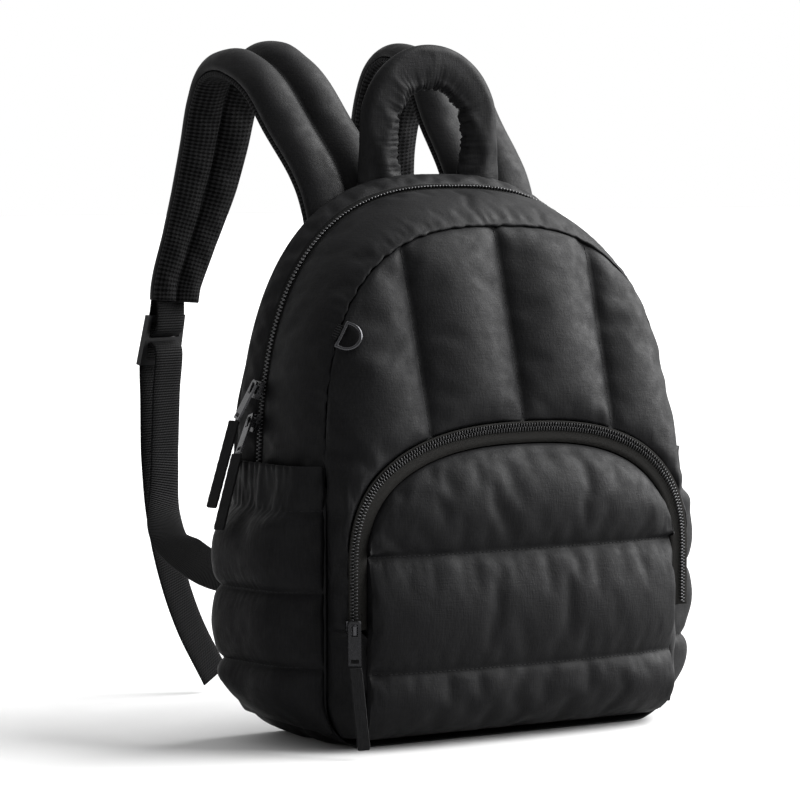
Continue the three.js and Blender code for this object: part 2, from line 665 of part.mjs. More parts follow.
// Ladder-lock: a frame with two cross bars, across the webbing
const lockSettle = clamp((lock.foot + LOCK_HEIGHT / 2 - SPRING_HEIGHT) / (FRONT_APEX + 20 - SPRING_HEIGHT), 0, 1);

function ladderLock(side) {
  const width = WEBBING_WIDTH + 2 * LOCK_SIDE + 2;
  const shape = new THREE.Shape();
  shape.moveTo(-width / 2, 0);
  shape.lineTo(width / 2, 0);
  shape.lineTo(width / 2 - 1.5, LOCK_HEIGHT);
  shape.lineTo(-width / 2 + 1.5, LOCK_HEIGHT);
  shape.closePath();
  const slot = (low, high) => {
    const hole = new THREE.Path();
    const half = WEBBING_WIDTH / 2 + 1;
    hole.moveTo(-half, low);
    hole.lineTo(-half, high);
    hole.lineTo(half, high);
    hole.lineTo(half, low);
    hole.closePath();
    return hole;
  };
  const middle = LOCK_HEIGHT / 2;
  shape.holes.push(slot(LOCK_BAR, middle - LOCK_BAR / 2), slot(middle + LOCK_BAR / 2, LOCK_HEIGHT - LOCK_BAR));
  const geometry = new THREE.ExtrudeGeometry(shape, { depth: LOCK_BAR, bevelEnabled: false });
  geometry.translate(0, 0, -LOCK_BAR / 2);
  geometry.rotateX(Math.PI / 2);
  geometry.translate(0, 0, -LOCK_HEIGHT);
  geometry.rotateX(degToRad(LOCK_TILT));
  geometry.rotateZ(degToRad(LOCK_TURN) * -side);
  geometry.translate(-side * lock.x + SIDEWAYS_SETTLE * lockSettle, lock.y, lock.top);
  return geometry;
}

for (const [side, label] of [[-1, 'left'], [1, 'right']]) {
  add(`strap_${label}`, strapLayer(side, STRAP_PADDING, STRAP_CHANNEL_PUFF, 0.2), nylon);
  add(`strap_mesh_${label}`, strapLayer(side, MESH_THICKNESS, 1.5, -0.2), mesh);
  add(`strap_webbing_${label}`, webbingStrip(webbingStations(upperRoute, side)), webbing);
  add(`ladder_lock_${label}`, ladderLock(side), plastic);
  add(`anchor_webbing_${label}`, webbingStrip(webbingStations(anchorRoute, side)), webbing);
  add(`tail_${label}`, webbingStrip(webbingStations(tailRoute, side)), webbing);
}

// Hardware sits in a frame of its own: x across, y along and z out of the surface
function framed(origin, along, out) {
  const z = out.clone().normalize();
  const y = along.clone().addScaledVector(z, -along.dot(z)).normalize();
  const x = vec(0, 0, 0).crossVectors(y, z);
  return new THREE.Matrix4().makeBasis(x, y, z).setPosition(settled(origin));
}

function box(width, length, height, x = 0, y = 0, z = 0) {
  return new THREE.BoxGeometry(width, length, height).translate(x, y, z + height / 2);
}

function solidOf(geometry) {
  const bare = geometry.clone();
  bare.deleteAttribute('normal');
  bare.deleteAttribute('uv');
  const merged = mergeVertices(bare, 1e-4);
  return new wasm.Manifold(new wasm.Mesh({
    numProp: 3,
    vertProperties: merged.attributes.position.array,
    triVerts: new Uint32Array(merged.index.array),
  }));
}

function joined(...geometries) {
  const solid = geometries.map(solidOf).reduce((sum, part) => sum.add(part));
  const { vertProperties, triVerts } = solid.getMesh();
  const geometry = new THREE.BufferGeometry();
  geometry.setAttribute('position', new THREE.Float32BufferAttribute(vertProperties, 3));
  geometry.setIndex(Array.from(triVerts));
  return geometry;
}

// Slider: a tapered body over the chain with a bridge that holds the pull
function sliderBody() {
  const shape = new THREE.Shape();
  shape.moveTo(-SLIDER_WIDTH / 2, SLIDER_LENGTH / 2);
  shape.lineTo(SLIDER_WIDTH / 2, SLIDER_LENGTH / 2);
  shape.lineTo(SLIDER_WIDTH / 2, 0);
  shape.lineTo(SLIDER_WIDTH / 3, -SLIDER_LENGTH / 2);
  shape.lineTo(-SLIDER_WIDTH / 3, -SLIDER_LENGTH / 2);
  shape.lineTo(-SLIDER_WIDTH / 2, 0);
  shape.closePath();
  const body = new THREE.ExtrudeGeometry(shape, { depth: SLIDER_HEIGHT - 1, bevelEnabled: false });
  return joined(body, box(BRIDGE_WIDTH, SLIDER_LENGTH * 0.5, BRIDGE_HEIGHT, 0, 0, SLIDER_HEIGHT - 1.5));
}

// Pull: a plate whose eye goes round the bridge, with a slot for its cloth tab at the far end
function pullPlate() {
  const shape = new THREE.Shape();
  const half = PULL_WIDTH / 2;
  const eye = SLIDER_LENGTH * 0.25 + 2.4;
  shape.moveTo(-half + 1, eye);
  shape.lineTo(half - 1, eye);
  shape.lineTo(half, eye - 2);
  shape.lineTo(half, eye - PULL_LENGTH);
  shape.lineTo(-half, eye - PULL_LENGTH);
  shape.lineTo(-half, eye - 2);
  shape.closePath();
  const window = (width, top, bottom) => {
    const hole = new THREE.Path();
    hole.moveTo(-width / 2, top);
    hole.lineTo(-width / 2, bottom);
    hole.lineTo(width / 2, bottom);
    hole.lineTo(width / 2, top);
    hole.closePath();
    return hole;
  };
  shape.holes.push(window(BRIDGE_WIDTH + 2, eye - 1.6, eye - 9));
  shape.holes.push(window(PULL_WIDTH - 3, eye - PULL_LENGTH + 4, eye - PULL_LENGTH + 1.6));
  return new THREE.ExtrudeGeometry(shape, { depth: PULL_THICKNESS, bevelEnabled: false });
}

// A cloth tab from the pull's end: straight pieces through a few points, facing away from the bag
function clothTab(points, facing, width) {
  const stations = points.map((middle, i) => {
    const along = points[Math.min(i + 1, points.length - 1)].clone().sub(points[Math.max(i - 1, 0)]).normalize();
    const out = facing.clone().addScaledVector(along, -facing.dot(along)).normalize();
    return { middle, out, across: vec(0, 0, 0).crossVectors(along, out) };
  });
  return webbingStrip(stations, width, TAB_THICKNESS);
}

// Each zip has its sliders where the photo has them: the place, the pull's lean, the tab's fall and
// the slack between the pull's end and the tab
const sliders = [
  {
    name: 'main', label: '_upper', at: skinAtHeight(MAIN_ZIP_LEVEL, -1, 217), stand: 2.3, up: vec(-0.02, -0.05, 1),
    reach: vec(-8, 5.5, -19), fall: vec(-18, -6, -53), facing: vec(-0.95, -0.3, 0.1), slack: 1,
  },
  {
    name: 'main', label: '_lower', at: skinAtHeight(MAIN_ZIP_LEVEL, -1, 197), stand: 2.3, up: vec(-0.02, -0.05, 1),
    reach: vec(-10, -4, -18), fall: vec(-17, -8, -46), facing: vec(-0.95, -0.3, 0.1), slack: 0.4,
  },
  {
    name: 'pocket', label: '', at: pocketPoint(-POCKET_HALF_WIDTH - 1, POCKET_ZIP_END + 1), stand: 1.5, up: vec(0, 0, 1),
    reach: vec(-2.5, -4, -19), fall: vec(0.5, -10, -49), facing: vec(-0.35, -1, 0.1), slack: 1,
  },
];

function skinAtHeight(level, side, z) {
  const rise = (z - SPRING_HEIGHT) / (apexAt(level) - SPRING_HEIGHT);
  const x = halfWidthAt(level) * (1 - rise ** ARCH_POWER) ** (1 / ARCH_POWER);
  return vec(side * x, skinY(level, z), z);
}

for (const { name, label, at, stand, up, reach, fall, facing, slack } of sliders) {
  const out = inward(at).negate();
  const seat = at.clone().addScaledVector(out, stand);
  const slider = sliderBody();
  slider.applyMatrix4(framed(seat, up, out));
  add(`${name}_slider${label}`, slider, metal);
  const lift = out.clone().multiplyScalar(SLIDER_HEIGHT - 1 + 1.8);
  const plate = pullPlate();
  const eye = seat.clone().add(lift);
  const plateOut = out.clone().addScaledVector(reach, -out.dot(reach) / reach.lengthSq()).normalize();
  plate.applyMatrix4(framed(eye, reach.clone().negate(), plateOut));
  add(`${name}_pull${label}`, plate, metal);
  const end = eye.clone().addScaledVector(reach.clone().normalize(), PULL_LENGTH - SLIDER_LENGTH * 0.25 - 2.4 + slack);
  end.addScaledVector(plateOut, PULL_THICKNESS / 2);
  const tab = [end, end.clone().addScaledVector(fall, 0.5), end.clone().add(fall)];
  add(`${name}_tab${label}`, clothTab(tab, facing, TAB_WIDTH), nylon);
}

// D-ring: a flat ring on the arch seam, with a short webbing loop behind its straight bar
// It lies on the panel's padding, near one rib
const ringRib = { share: RING_SHARE, side: -1 };
const [ringSeam, ringZip] = ribEnds(ringRib);
const ringIn = D_RING_WIDTH * 0.3 / ringSeam.distanceTo(ringZip);
const ringSeat = ringSeam.clone().lerp(ringZip, ringIn);
const ringRise = channelPuff(ringRib) * pillow(ringIn, 3) + RING_CLEARANCE;
const ringOut = inward(ringSeat).negate();
ringSeat.addScaledVector(ringOut, ringRise);
const ringUp = vec(0.5, 0, 0.87);

function dRing() {
  const outer = new THREE.Shape();
  const inner = new THREE.Path();
  const half = D_RING_WIDTH / 2;
  const dShape = (path, inset) => {
    path.moveTo(inset, half - inset);
    path.lineTo(inset, inset - half);
    path.lineTo(half * 0.5, inset - half);
    path.absarc(half * 0.5, 0, half - inset, -Math.PI / 2, Math.PI / 2, false);
    path.closePath();
  };
  dShape(outer, 0);
  dShape(inner, D_RING_WIRE);
  outer.holes.push(inner);
  const round = D_RING_WIRE * 0.25;
  const geometry = new THREE.ExtrudeGeometry(outer, {
    depth: D_RING_WIRE - 2 * round, curveSegments: 10, bevelEnabled: true, bevelSize: round, bevelOffset: -round,
    bevelThickness: round, bevelSegments: 1,
  });
  return geometry.translate(0, 0, round);
}
const ringFrame = framed(ringSeat, ringUp, ringOut);
add('d_ring', dRing().applyMatrix4(ringFrame), metal);
add('d_ring_tab', box(4, D_RING_WIDTH * 0.55, 2, -2.3, 0, 0.5).applyMatrix4(ringFrame), webbing);

// Anchor tabs: a sewn wedge at the lower back seam that holds the strap's webbing
for (const [side, label] of [[-1, 'left'], [1, 'right']]) {
  const end = anchorRoute.at(-1);
  const tab = box(ANCHOR_THICKNESS, ANCHOR_TAB, WEBBING_WIDTH + 4, 0, 0, -(WEBBING_WIDTH + 4) / 2);
  tab.translate(-side * end.x, anchorSeat + ANCHOR_TAB / 2, end.z);
  add(`anchor_tab_${label}`, tab, nylon);
}

export default backpack;
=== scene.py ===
import math

import bpy
import numpy as np
from mathutils import Matrix, Vector


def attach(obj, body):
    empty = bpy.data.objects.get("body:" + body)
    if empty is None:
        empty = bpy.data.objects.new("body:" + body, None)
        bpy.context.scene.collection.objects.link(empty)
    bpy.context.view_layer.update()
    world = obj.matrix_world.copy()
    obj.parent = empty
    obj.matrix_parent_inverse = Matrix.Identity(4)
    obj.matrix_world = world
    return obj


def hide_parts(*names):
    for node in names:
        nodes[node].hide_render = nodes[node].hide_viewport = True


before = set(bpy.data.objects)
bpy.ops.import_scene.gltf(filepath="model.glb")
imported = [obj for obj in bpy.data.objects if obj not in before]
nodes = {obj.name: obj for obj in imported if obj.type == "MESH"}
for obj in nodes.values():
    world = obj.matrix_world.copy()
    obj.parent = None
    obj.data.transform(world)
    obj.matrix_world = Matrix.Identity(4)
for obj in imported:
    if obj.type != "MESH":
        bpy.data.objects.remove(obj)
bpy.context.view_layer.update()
rng = np.random.default_rng(7)

# Sizes of the solids, in millimetres, as part.mjs has them
FRONT_HALF_WIDTH = 134
BACK_HALF_WIDTH = 142
SPRING_HEIGHT = 164
FRONT_APEX = 321
BACK_APEX = 352
ARCH_POWER = 2.7
CORNER_RADIUS = 30
BACK_CORNER_RADIUS = 45
FRONT_SEAM_Y = -46
BACK_SEAM_Y = 44
FRONT_LEAN = 22
SIDEWAYS_SETTLE = 10
PANEL_WALL = 3
MITRE_DEPTH = 26
GUSSET_PUFF = 2.5
CHANNEL_PUFF = 9
BACK_PUFF = 5
STRIP_PUFF = 3
QUILT_SEAM_X = 70
POCKET_ZIP_Y = -67
POCKET_HALF_WIDTH = 127
POCKET_SPRING = 112
POCKET_APEX = 195
POCKET_POWER = 2.5
POCKET_ZIP_END = 76
ZIP_OUTSIDE = 3.6
ZIP_INSIDE = 10
POCKET_BULGE = 12
UPPER_QUILT_Z = 120
LOWER_QUILT_Z = 48
POCKET_BOTTOM_Z = 5
MAIN_ZIP_LEVEL = 0.74
MAIN_ZIP_HALF = 3.4
SIDE_POCKET_TOP = 175
ELASTIC_HEIGHT = 27
SIDE_POCKET_BULGE = 23
SIDE_POCKET_WALL = 5
SIDE_SEAM_UPPER_Z = 98
SIDE_SEAM_LOWER_Z = 52
MOUTH_BIAS = 0.6
HANDLE_HALF_SPACING = 38
HANDLE_RISE = 80
HANDLE_WIDTH = 28
HANDLE_THICKNESS = 15
STRAP_WIDTH = 66
STRAP_PADDING = 8
STRAP_CHANNEL_PUFF = 4
MESH_THICKNESS = 4
WEBBING_WIDTH = 25
WEBBING_THICKNESS = 1.5
LOCK_HEIGHT = 34
LOCK_TILT = 13
LOCK_BAR = 4
LOCK_TURN = 12
ANCHOR_TAB = 12

# Sizes of the grids and the room left at their rims
SEAM_SLACK = 0.2
FLOOR_GAP = 0.2
POCKET_STEPS = (11, 16, 16)
LOWER_SEAM_ROW, UPPER_SEAM_ROW, POCKET_TOP_ROW = np.cumsum(POCKET_STEPS).tolist()
POCKET_COLUMNS = 74
FRONT_STEPS = 30
LEVEL_RIBS_TOP = 95
SIDE_COLUMNS = 58
BACK_ROWS, BACK_COLUMNS = 50, 46
STRAP_COLUMNS = 25
STRAP_SEAM = STRAP_COLUMNS // 2


def lerp(a, b, t):
    return a + (b - a) * t


def smooth(x, low, high):
    t = np.clip((x - low) / (high - low), 0, 1)
    return t * t * (3 - 2 * t)


def pillow(share, power=2.4):
    return 1 - np.abs(2 * np.clip(share, 0, 1) - 1) ** power


def settled(p):
    q = np.array(p, float)
    t = np.clip((q[..., 2] - SPRING_HEIGHT) / (FRONT_APEX + 20 - SPRING_HEIGHT), 0, 1)
    q[..., 0] += SIDEWAYS_SETTLE * t
    return q


def point(x, y, z):
    return np.stack(np.broadcast_arrays(np.asarray(x, float), np.asarray(y, float), np.asarray(z, float)), -1)


def unit(v):
    return v / np.maximum(np.linalg.norm(v, axis=-1, keepdims=True), 1e-9)


# The body's outline, as in part.mjs
def half_width(level):
    return lerp(FRONT_HALF_WIDTH, BACK_HALF_WIDTH, level)


def apex(level):
    return lerp(FRONT_APEX, BACK_APEX, level)


def corner(level):
    return lerp(CORNER_RADIUS, BACK_CORNER_RADIUS, level)


def outline(level, q):
    """x and z where q is 0 at the base's middle, 1 to 2 round its corner, 3 up the side and 4 at the apex."""
    level, q = np.broadcast_arrays(np.asarray(level, float), np.asarray(q, float))
    side = np.where(q < 0, -1.0, 1.0)
    k = np.abs(q)
    width, rise, r = half_width(level), apex(level) - SPRING_HEIGHT, corner(level)
    low = (np.clip(k, 1, 2) - 1) * math.pi / 2
    high = (np.clip(k, 3, 4) - 3) * math.pi / 2
    arch_x = width * np.clip(np.cos(high), 0, 1) ** (2 / ARCH_POWER)
    arch_z = SPRING_HEIGHT + rise * np.sin(high) ** (2 / ARCH_POWER)
    part = [k <= 1, k <= 2, k <= 3]
    x = np.select(part, [(width - r) * k, width - r + r * np.sin(low), width], arch_x)
    z = np.select(part, [0 * k, r - r * np.cos(low), lerp(r, SPRING_HEIGHT, k - 2)], arch_z)
    return side * x, z


def front_y(z):
    return FRONT_SEAM_Y + FRONT_LEAN * np.clip((z - SPRING_HEIGHT) / (FRONT_APEX - SPRING_HEIGHT), 0, 1)


def skin(level, q):
    x, z = outline(level, q)
    return point(x, lerp(front_y(z), BACK_SEAM_Y, level), z)


def inward(p):
    x, y, z = p[..., 0], p[..., 1], p[..., 2]
    front = front_y(z)
    level = np.clip((y - front) / (BACK_SEAM_Y - front), 0, 1)
    width, rise = half_width(level), apex(level) - SPRING_HEIGHT
    ty = np.clip(y, front + MITRE_DEPTH, BACK_SEAM_Y - MITRE_DEPTH)
    v = np.maximum(z - SPRING_HEIGHT, 0) / rise
    radius = np.maximum(((np.abs(x) / width) ** ARCH_POWER + v ** ARCH_POWER) ** (1 / ARCH_POWER), 1e-6)
    share = np.minimum(1, (1 - MITRE_DEPTH / width) / radius)
    below = z <= SPRING_HEIGHT
    tx = np.where(below, np.clip(x, MITRE_DEPTH - width, width - MITRE_DEPTH), x * share)
    tz = np.where(below, np.maximum(z, MITRE_DEPTH), SPRING_HEIGHT + (z - SPRING_HEIGHT) * share)
    return unit(point(tx, ty, tz) - p)


def level_gap(z):
    return 1 / (BACK_SEAM_Y - front_y(z))


def pocket_top(inset, x):
    width = POCKET_HALF_WIDTH - inset
    rise = POCKET_APEX - POCKET_SPRING - inset
    share = np.minimum(1, np.abs(x) / width)
    return POCKET_SPRING + rise * (1 - share ** POCKET_POWER) ** (1 / POCKET_POWER)


def pocket_point(x, z):
    x, z = np.broadcast_arrays(np.asarray(x, float), np.asarray(z, float))
    foot = np.clip(1 - z / CORNER_RADIUS, 0, 1)
    return point(x * (1 - 0.06 * foot ** 2), lerp(POCKET_ZIP_Y, FRONT_SEAM_Y - 4, foot ** 2), z)


def body_top(x):
    share = np.minimum(1, np.abs(x) / FRONT_HALF_WIDTH)
    return SPRING_HEIGHT + (FRONT_APEX - SPRING_HEIGHT) * (1 - share ** ARCH_POWER) ** (1 / ARCH_POWER)


def respaced(points, count):
    """The indices, as floats, of count points evenly spaced along a dense line."""
    length = np.r_[0, np.cumsum(np.linalg.norm(np.diff(points, axis=0), axis=1))]
    return np.interp(np.linspace(0, length[-1], count), length, np.arange(len(points)))


def pick(array, at):
    low = np.clip(np.floor(at).astype(int), 0, len(array) - 2)
    t = (at - low)
    t = t.reshape(t.shape + (1,) * (array.ndim - 1))
    return array[low] * (1 - t) + array[low + 1] * t


# Soft noise that is the same each run, over points in millimetres
_waves = [(rng.normal(size=3), rng.uniform(0, 6.28)) for _ in range(48)]


def soft_noise(p, size):
    total = np.zeros(p.shape[:-1])
    for direction, phase in _waves:
        total += np.sin(p @ direction * (2.2 / size) + phase)
    return total / math.sqrt(len(_waves) / 2)


# Meshes
def grid_faces(rows, cols, wrap=False, start=0, flip=False):
    i, j = np.meshgrid(np.arange(rows - 1), np.arange(cols if wrap else cols - 1), indexing="ij")
    k = (j + 1) % cols
    here, after = i * cols, (i + 1) * cols
    quads = np.stack([here + j, after + j, after + k, here + k], -1).reshape(-1, 4) + start
    return quads[:, ::-1] if flip else quads


def new_mesh(name, points, faces, uv=None, scale=0.001):
    mesh = bpy.data.meshes.new(name)
    mesh.from_pydata((np.asarray(points) * scale).tolist(), [], [list(map(int, f)) for f in faces])
    if uv is not None:
        layer = mesh.uv_layers.new(name="UVMap")
        index = np.zeros(len(mesh.loops), int)
        mesh.loops.foreach_get("vertex_index", index)
        layer.data.foreach_set("uv", (np.asarray(uv)[index] * 0.001).ravel())
    mesh.polygons.foreach_set("use_smooth", [True] * len(mesh.polygons))
    mesh.update()
    obj = bpy.data.objects.new(name, mesh)
    bpy.context.scene.collection.objects.link(obj)
    return obj


def facing_out(points, faces):
    """The faces, turned if the closed mesh is inside out."""
    volume = 0.0
    for f in faces:
        a = points[f[0]]
        for k in range(1, len(f) - 1):
            volume += np.dot(a, np.cross(points[f[k]], points[f[k + 1]]))
    return faces if volume > 0 else [list(f)[::-1] for f in faces]


def lengths_uv(grid):
    """Lengths along and across a grid, in millimetres, for the weave and ribs."""
    along = np.r_[0, np.cumsum(np.linalg.norm(np.diff(grid, axis=0), axis=-1).mean(1))]
    across = np.r_[0, np.cumsum(np.linalg.norm(np.diff(grid, axis=1), axis=-1).mean(0))]
    return np.stack(np.meshgrid(across, along), -1).reshape(-1, 2)


def lengths_along(grid, axis):
    """Length from a grid's first row to each point (axis 0), or from its first column (axis 1)."""
    steps = np.linalg.norm(np.diff(grid, axis=axis), axis=-1)
    first = np.zeros((1, grid.shape[1]) if axis == 0 else (grid.shape[0], 1))
    return np.concatenate([first, np.cumsum(steps, axis)], axis)


def subdivide(obj):
    sub = obj.modifiers.new("subdivide", "SUBSURF")
    sub.levels = sub.render_levels = 1


def shell(name, outer, inner, fine=True, sharp_rows=(), sharp_cols=()):
    """A closed piece between a grid of outer points and its matching inner grid. Seams stay sharp."""
    rows, cols = outer.shape[:2]
    count = rows * cols
    faces = [list(f) for f in grid_faces(rows, cols)]
    faces += [list(f) for f in grid_faces(rows, cols, start=count, flip=True)]
    edge = [(i, 0) for i in range(rows)] + [(rows - 1, j) for j in range(1, cols)]
    edge += [(i, cols - 1) for i in range(rows - 2, -1, -1)] + [(0, j) for j in range(cols - 2, 0, -1)]
    ids = [i * cols + j for i, j in edge]
    for a, b in zip(ids, ids[1:] + ids[:1]):
        faces.append([a, a + count, b + count, b])
    points = np.concatenate([outer.reshape(-1, 3), inner.reshape(-1, 3)])
    grid_uv = lengths_uv(outer)
    obj = new_mesh(name, points, facing_out(points, faces), np.concatenate([grid_uv, grid_uv]))
    pairs = {frozenset((r * cols + j, r * cols + j + 1)) for r in sharp_rows for j in range(cols - 1)}
    pairs |= {frozenset((i * cols + c, (i + 1) * cols + c)) for c in sharp_cols for i in range(rows - 1)}
    rim = {frozenset(pair) for pair in zip(ids, ids[1:] + ids[:1])}
    crease = obj.data.attributes.new("crease_edge", "FLOAT", "EDGE")
    edges = [frozenset(e.vertices) for e in obj.data.edges]
    crease.data.foreach_set("value", [1.0 if e in pairs else 0.7 if e in rim else 0.0 for e in edges])
    if fine:
        subdivide(obj)
    return obj


def tube_mesh(name, rings, uv):
    """A closed tube through rings of points, with flat ends."""
    count, sides = rings.shape[:2]
    faces = [list(f) for f in grid_faces(count, sides, wrap=True)]
    faces += [list(range(sides)), list(range((count - 1) * sides, count * sides))[::-1]]
    points = rings.reshape(-1, 3)
    return new_mesh(name, points, facing_out(points, faces), uv)


def closed_tube(name, rings):
    obj = tube_mesh(name, rings, lengths_uv(rings))
    subdivide(obj)
    return obj


# Cloth simulation of the padded faces: pinned at the seams, cut a little larger than its place and
# blown up from behind. All run together.
SIM_SCALE = 0.01
SIM_FRAMES = 24
_cloths = {}


def cloth(name, points, pins, wrap=False, pressure=1.0, grow=0.05, cap=12, bending=0.08, flip=False):
    rows, cols = points.shape[:2]
    noise = soft_noise(points, 14) * 0.25 * (~pins)
    normals = grid_normals(points, wrap)
    start = points + normals * noise[..., None]
    faces = grid_faces(rows, cols, wrap, flip=flip)
    obj = new_mesh("sim_" + name, start.reshape(-1, 3), faces, scale=SIM_SCALE)
    group = obj.vertex_groups.new(name="pin")
    group.add([int(k) for k in np.flatnonzero(pins.ravel())], 1.0, "REPLACE")
    mod = obj.modifiers.new("cloth", "CLOTH")
    s = mod.settings
    s.quality = 6
    s.mass = 0.3
    s.tension_stiffness = s.compression_stiffness = 15
    s.shear_stiffness = 5
    s.bending_stiffness = bending
    s.tension_damping = s.compression_damping = 5
    s.shear_damping = 5
    s.air_damping = 3
    s.use_pressure = True
    s.uniform_pressure_force = pressure
    s.shrink_min = -grow
    s.vertex_group_mass = "pin"
    s.pin_stiffness = 50
    s.effector_weights.gravity = 0
    mod.collision_settings.use_collision = False
    mod.collision_settings.use_self_collision = False
    mod.point_cache.frame_start = 1
    mod.point_cache.frame_end = SIM_FRAMES
    _cloths[name] = (obj, points, cap)


def angle_gap(a):
    """How far an angle is from zero."""
    return np.abs((a + math.pi) % (2 * math.pi) - math.pi)


def grid_normals(p, wrap=False):
    du = np.gradient(p, axis=0)
    if wrap:
        dv = (np.roll(p, -1, axis=1) - np.roll(p, 1, axis=1)) / 2
    else:
        dv = np.gradient(p, axis=1)
    return unit(np.cross(du, dv))


def run_cloths():
    """Steps every cloth and returns its points, no further from their start than its cap."""
    scene = bpy.context.scene
    steps = SIM_FRAMES
    for f in range(1, steps + 1):
        scene.frame_set(f)
    graph = bpy.context.evaluated_depsgraph_get()
    result = {}
    for name, (obj, start, cap) in _cloths.items():
        mesh = obj.evaluated_get(graph).data
        co = np.zeros(len(mesh.vertices) * 3)
        mesh.vertices.foreach_get("co", co)
        moved = co.reshape(start.shape) / SIM_SCALE - start
        size = np.linalg.norm(moved, axis=-1, keepdims=True)
        moved = moved * np.minimum(1, cap / np.maximum(size, 1e-6))
        if not np.isfinite(moved).all():
            moved = np.zeros_like(start)
        result[name] = start + moved
    for obj, *_ in _cloths.values():
        bpy.data.objects.remove(obj)
    scene.frame_set(1)
    return result


# Body panels. Each has its points on the seams' surface, its pins and how far its puff starts out.
pieces = {}


def dense_ribs():
    """Ends of the front panel's ribs from the left: body seam points, zip points and shares of the width."""
    zip_inset, tape_inset = -ZIP_OUTSIDE - SEAM_SLACK, ZIP_INSIDE - SEAM_SLACK
    seam, zipper, share = [], [], []

    def side_rib(z, inset):
        foot = max(0, CORNER_RADIUS - z)
        round_in = CORNER_RADIUS - math.sqrt(CORNER_RADIUS ** 2 - foot ** 2)
        seam.append([FRONT_HALF_WIDTH - round_in, FRONT_SEAM_Y, z])
        zipper.append(pocket_point(POCKET_HALF_WIDTH - inset, z).tolist())
        share.append(1.0)

    z_low = CORNER_RADIUS * (1 - math.cos(math.pi / 4))
    for z in np.linspace(z_low, POCKET_ZIP_END - 1, 13):
        side_rib(z, tape_inset)
    for z in np.linspace(POCKET_ZIP_END - 0.5, LEVEL_RIBS_TOP, 5):
        side_rib(z, zip_inset)
    for t in np.linspace(0, 1, 12)[1:-1]:
        seam.append([FRONT_HALF_WIDTH, FRONT_SEAM_Y, lerp(LEVEL_RIBS_TOP, SPRING_HEIGHT, t)])
        zipper.append([POCKET_HALF_WIDTH - zip_inset, POCKET_ZIP_Y, lerp(LEVEL_RIBS_TOP, POCKET_SPRING, t)])
        share.append(1.0)
    quilt = QUILT_SEAM_X / (POCKET_HALF_WIDTH + ZIP_OUTSIDE)
    arch = np.cos(np.linspace(0, math.pi / 2, 900)) ** (2 / ARCH_POWER)
    line = point(arch * FRONT_HALF_WIDTH, 0, body_top(arch * FRONT_HALF_WIDTH))
    outer_part, inner_part = arch >= quilt, arch <= quilt
    picks = []
    for part, count in ((outer_part, 34), (inner_part, 19)):
        picks.append(pick(arch[part], respaced(line[part], count)))
    picks[0][-1] = quilt
    picks[1][-1] = 0
    for s in np.r_[picks[0], picks[1][1:]]:
        x = s * FRONT_HALF_WIDTH
        top = float(body_top(x))
        seam.append([x, float(front_y(top)), top])
        edge = POCKET_HALF_WIDTH - zip_inset
        zipper.append([s * edge, POCKET_ZIP_Y, float(pocket_top(zip_inset, s * edge))])
        share.append(float(s))
    seam, zipper, share = np.array(seam), np.array(zipper), np.array(share)
    mirror = np.array([-1, 1, 1])
    seam = np.concatenate([seam * mirror, seam[:-1][::-1]])
    zipper = np.concatenate([zipper * mirror, zipper[:-1][::-1]])
    share = np.r_[share, share[:-1][::-1]]
    return seam, zipper, share, quilt


def front_panel():
    seam, zipper, share, quilt = dense_ribs()
    length = np.linalg.norm(seam - zipper, axis=1, keepdims=True)
    v = np.linspace(0, 1, FRONT_STEPS)[None, :, None]
    start = SEAM_SLACK / length[:, :, None]
    v = start + (1 - start) * v
    base = seam[:, None] * (1 - v) + zipper[:, None] * v
    across = np.clip((share - quilt) / (1 - quilt), 0, 1)
    raised = CHANNEL_PUFF * pillow(across * 0.5, 2) ** 0.7
    puff = np.where(share < quilt, CHANNEL_PUFF * pillow(share / quilt, 2) ** 0.7,
                    lerp(raised, STRIP_PUFF, smooth(across, 0.35, 0.9)))
    # Below the zip's end the ribs run on to the pocket, and their puff widens slowly
    across_rib = np.repeat(np.linspace(0, 1, FRONT_STEPS)[None], len(base), 0)
    beside_zip = length[np.isclose(seam[:, 2], POCKET_ZIP_END - 0.5)].max()
    below_zip = smooth(POCKET_ZIP_END - seam[:, 2], 0.5, 26)[:, None]
    narrow = np.clip(across_rib * length / beside_zip, 0, 1)
    whole = pillow(across_rib, 3)
    is_below = seam[:, 2:] < POCKET_ZIP_END - 0.8
    height = puff[:, None] * np.where(is_below, lerp(pillow(narrow, 3), whole, below_zip), whole)
    pins = np.zeros(base.shape[:2], bool)
    pins[:, [0, -1]] = True
    pins[[0, -1]] = True
    pins[np.isclose(share, quilt) | (share == 0)] = True
    return base, height, pins


def strip(q_values, low, high, steps, puff_height):
    q = np.asarray(q_values)
    z = outline(0.5, q)[1]
    level = low(z)[:, None] + (high(z) - low(z))[:, None] * np.linspace(0, 1, steps)[None]
    base = skin(level, np.broadcast_to(q[:, None], level.shape))
    height = puff_height * pillow(np.linspace(0, 1, steps))[None] * np.ones((len(q), 1))
    height[base[..., 2] < 1] = 0
    height[[0, -1]] = 0
    pins = np.zeros(level.shape, bool)
    pins[:, [0, -1]] = True
    pins[[0, -1]] = True
    pins |= base[..., 2] < 1
    return base, height, pins


def q_over_arch(count, level=0.5):
    turn = np.linspace(-1, 1, 1001)
    as_q = lambda t: np.where(t < 0, -1, 1) * (4 - np.abs(t))
    return as_q(pick(turn, respaced(skin(level, as_q(turn)), count)))


def q_round_base(count):
    q = np.linspace(-2.996, 2.996, 1500)
    return pick(q, respaced(skin(0.5, q), count))


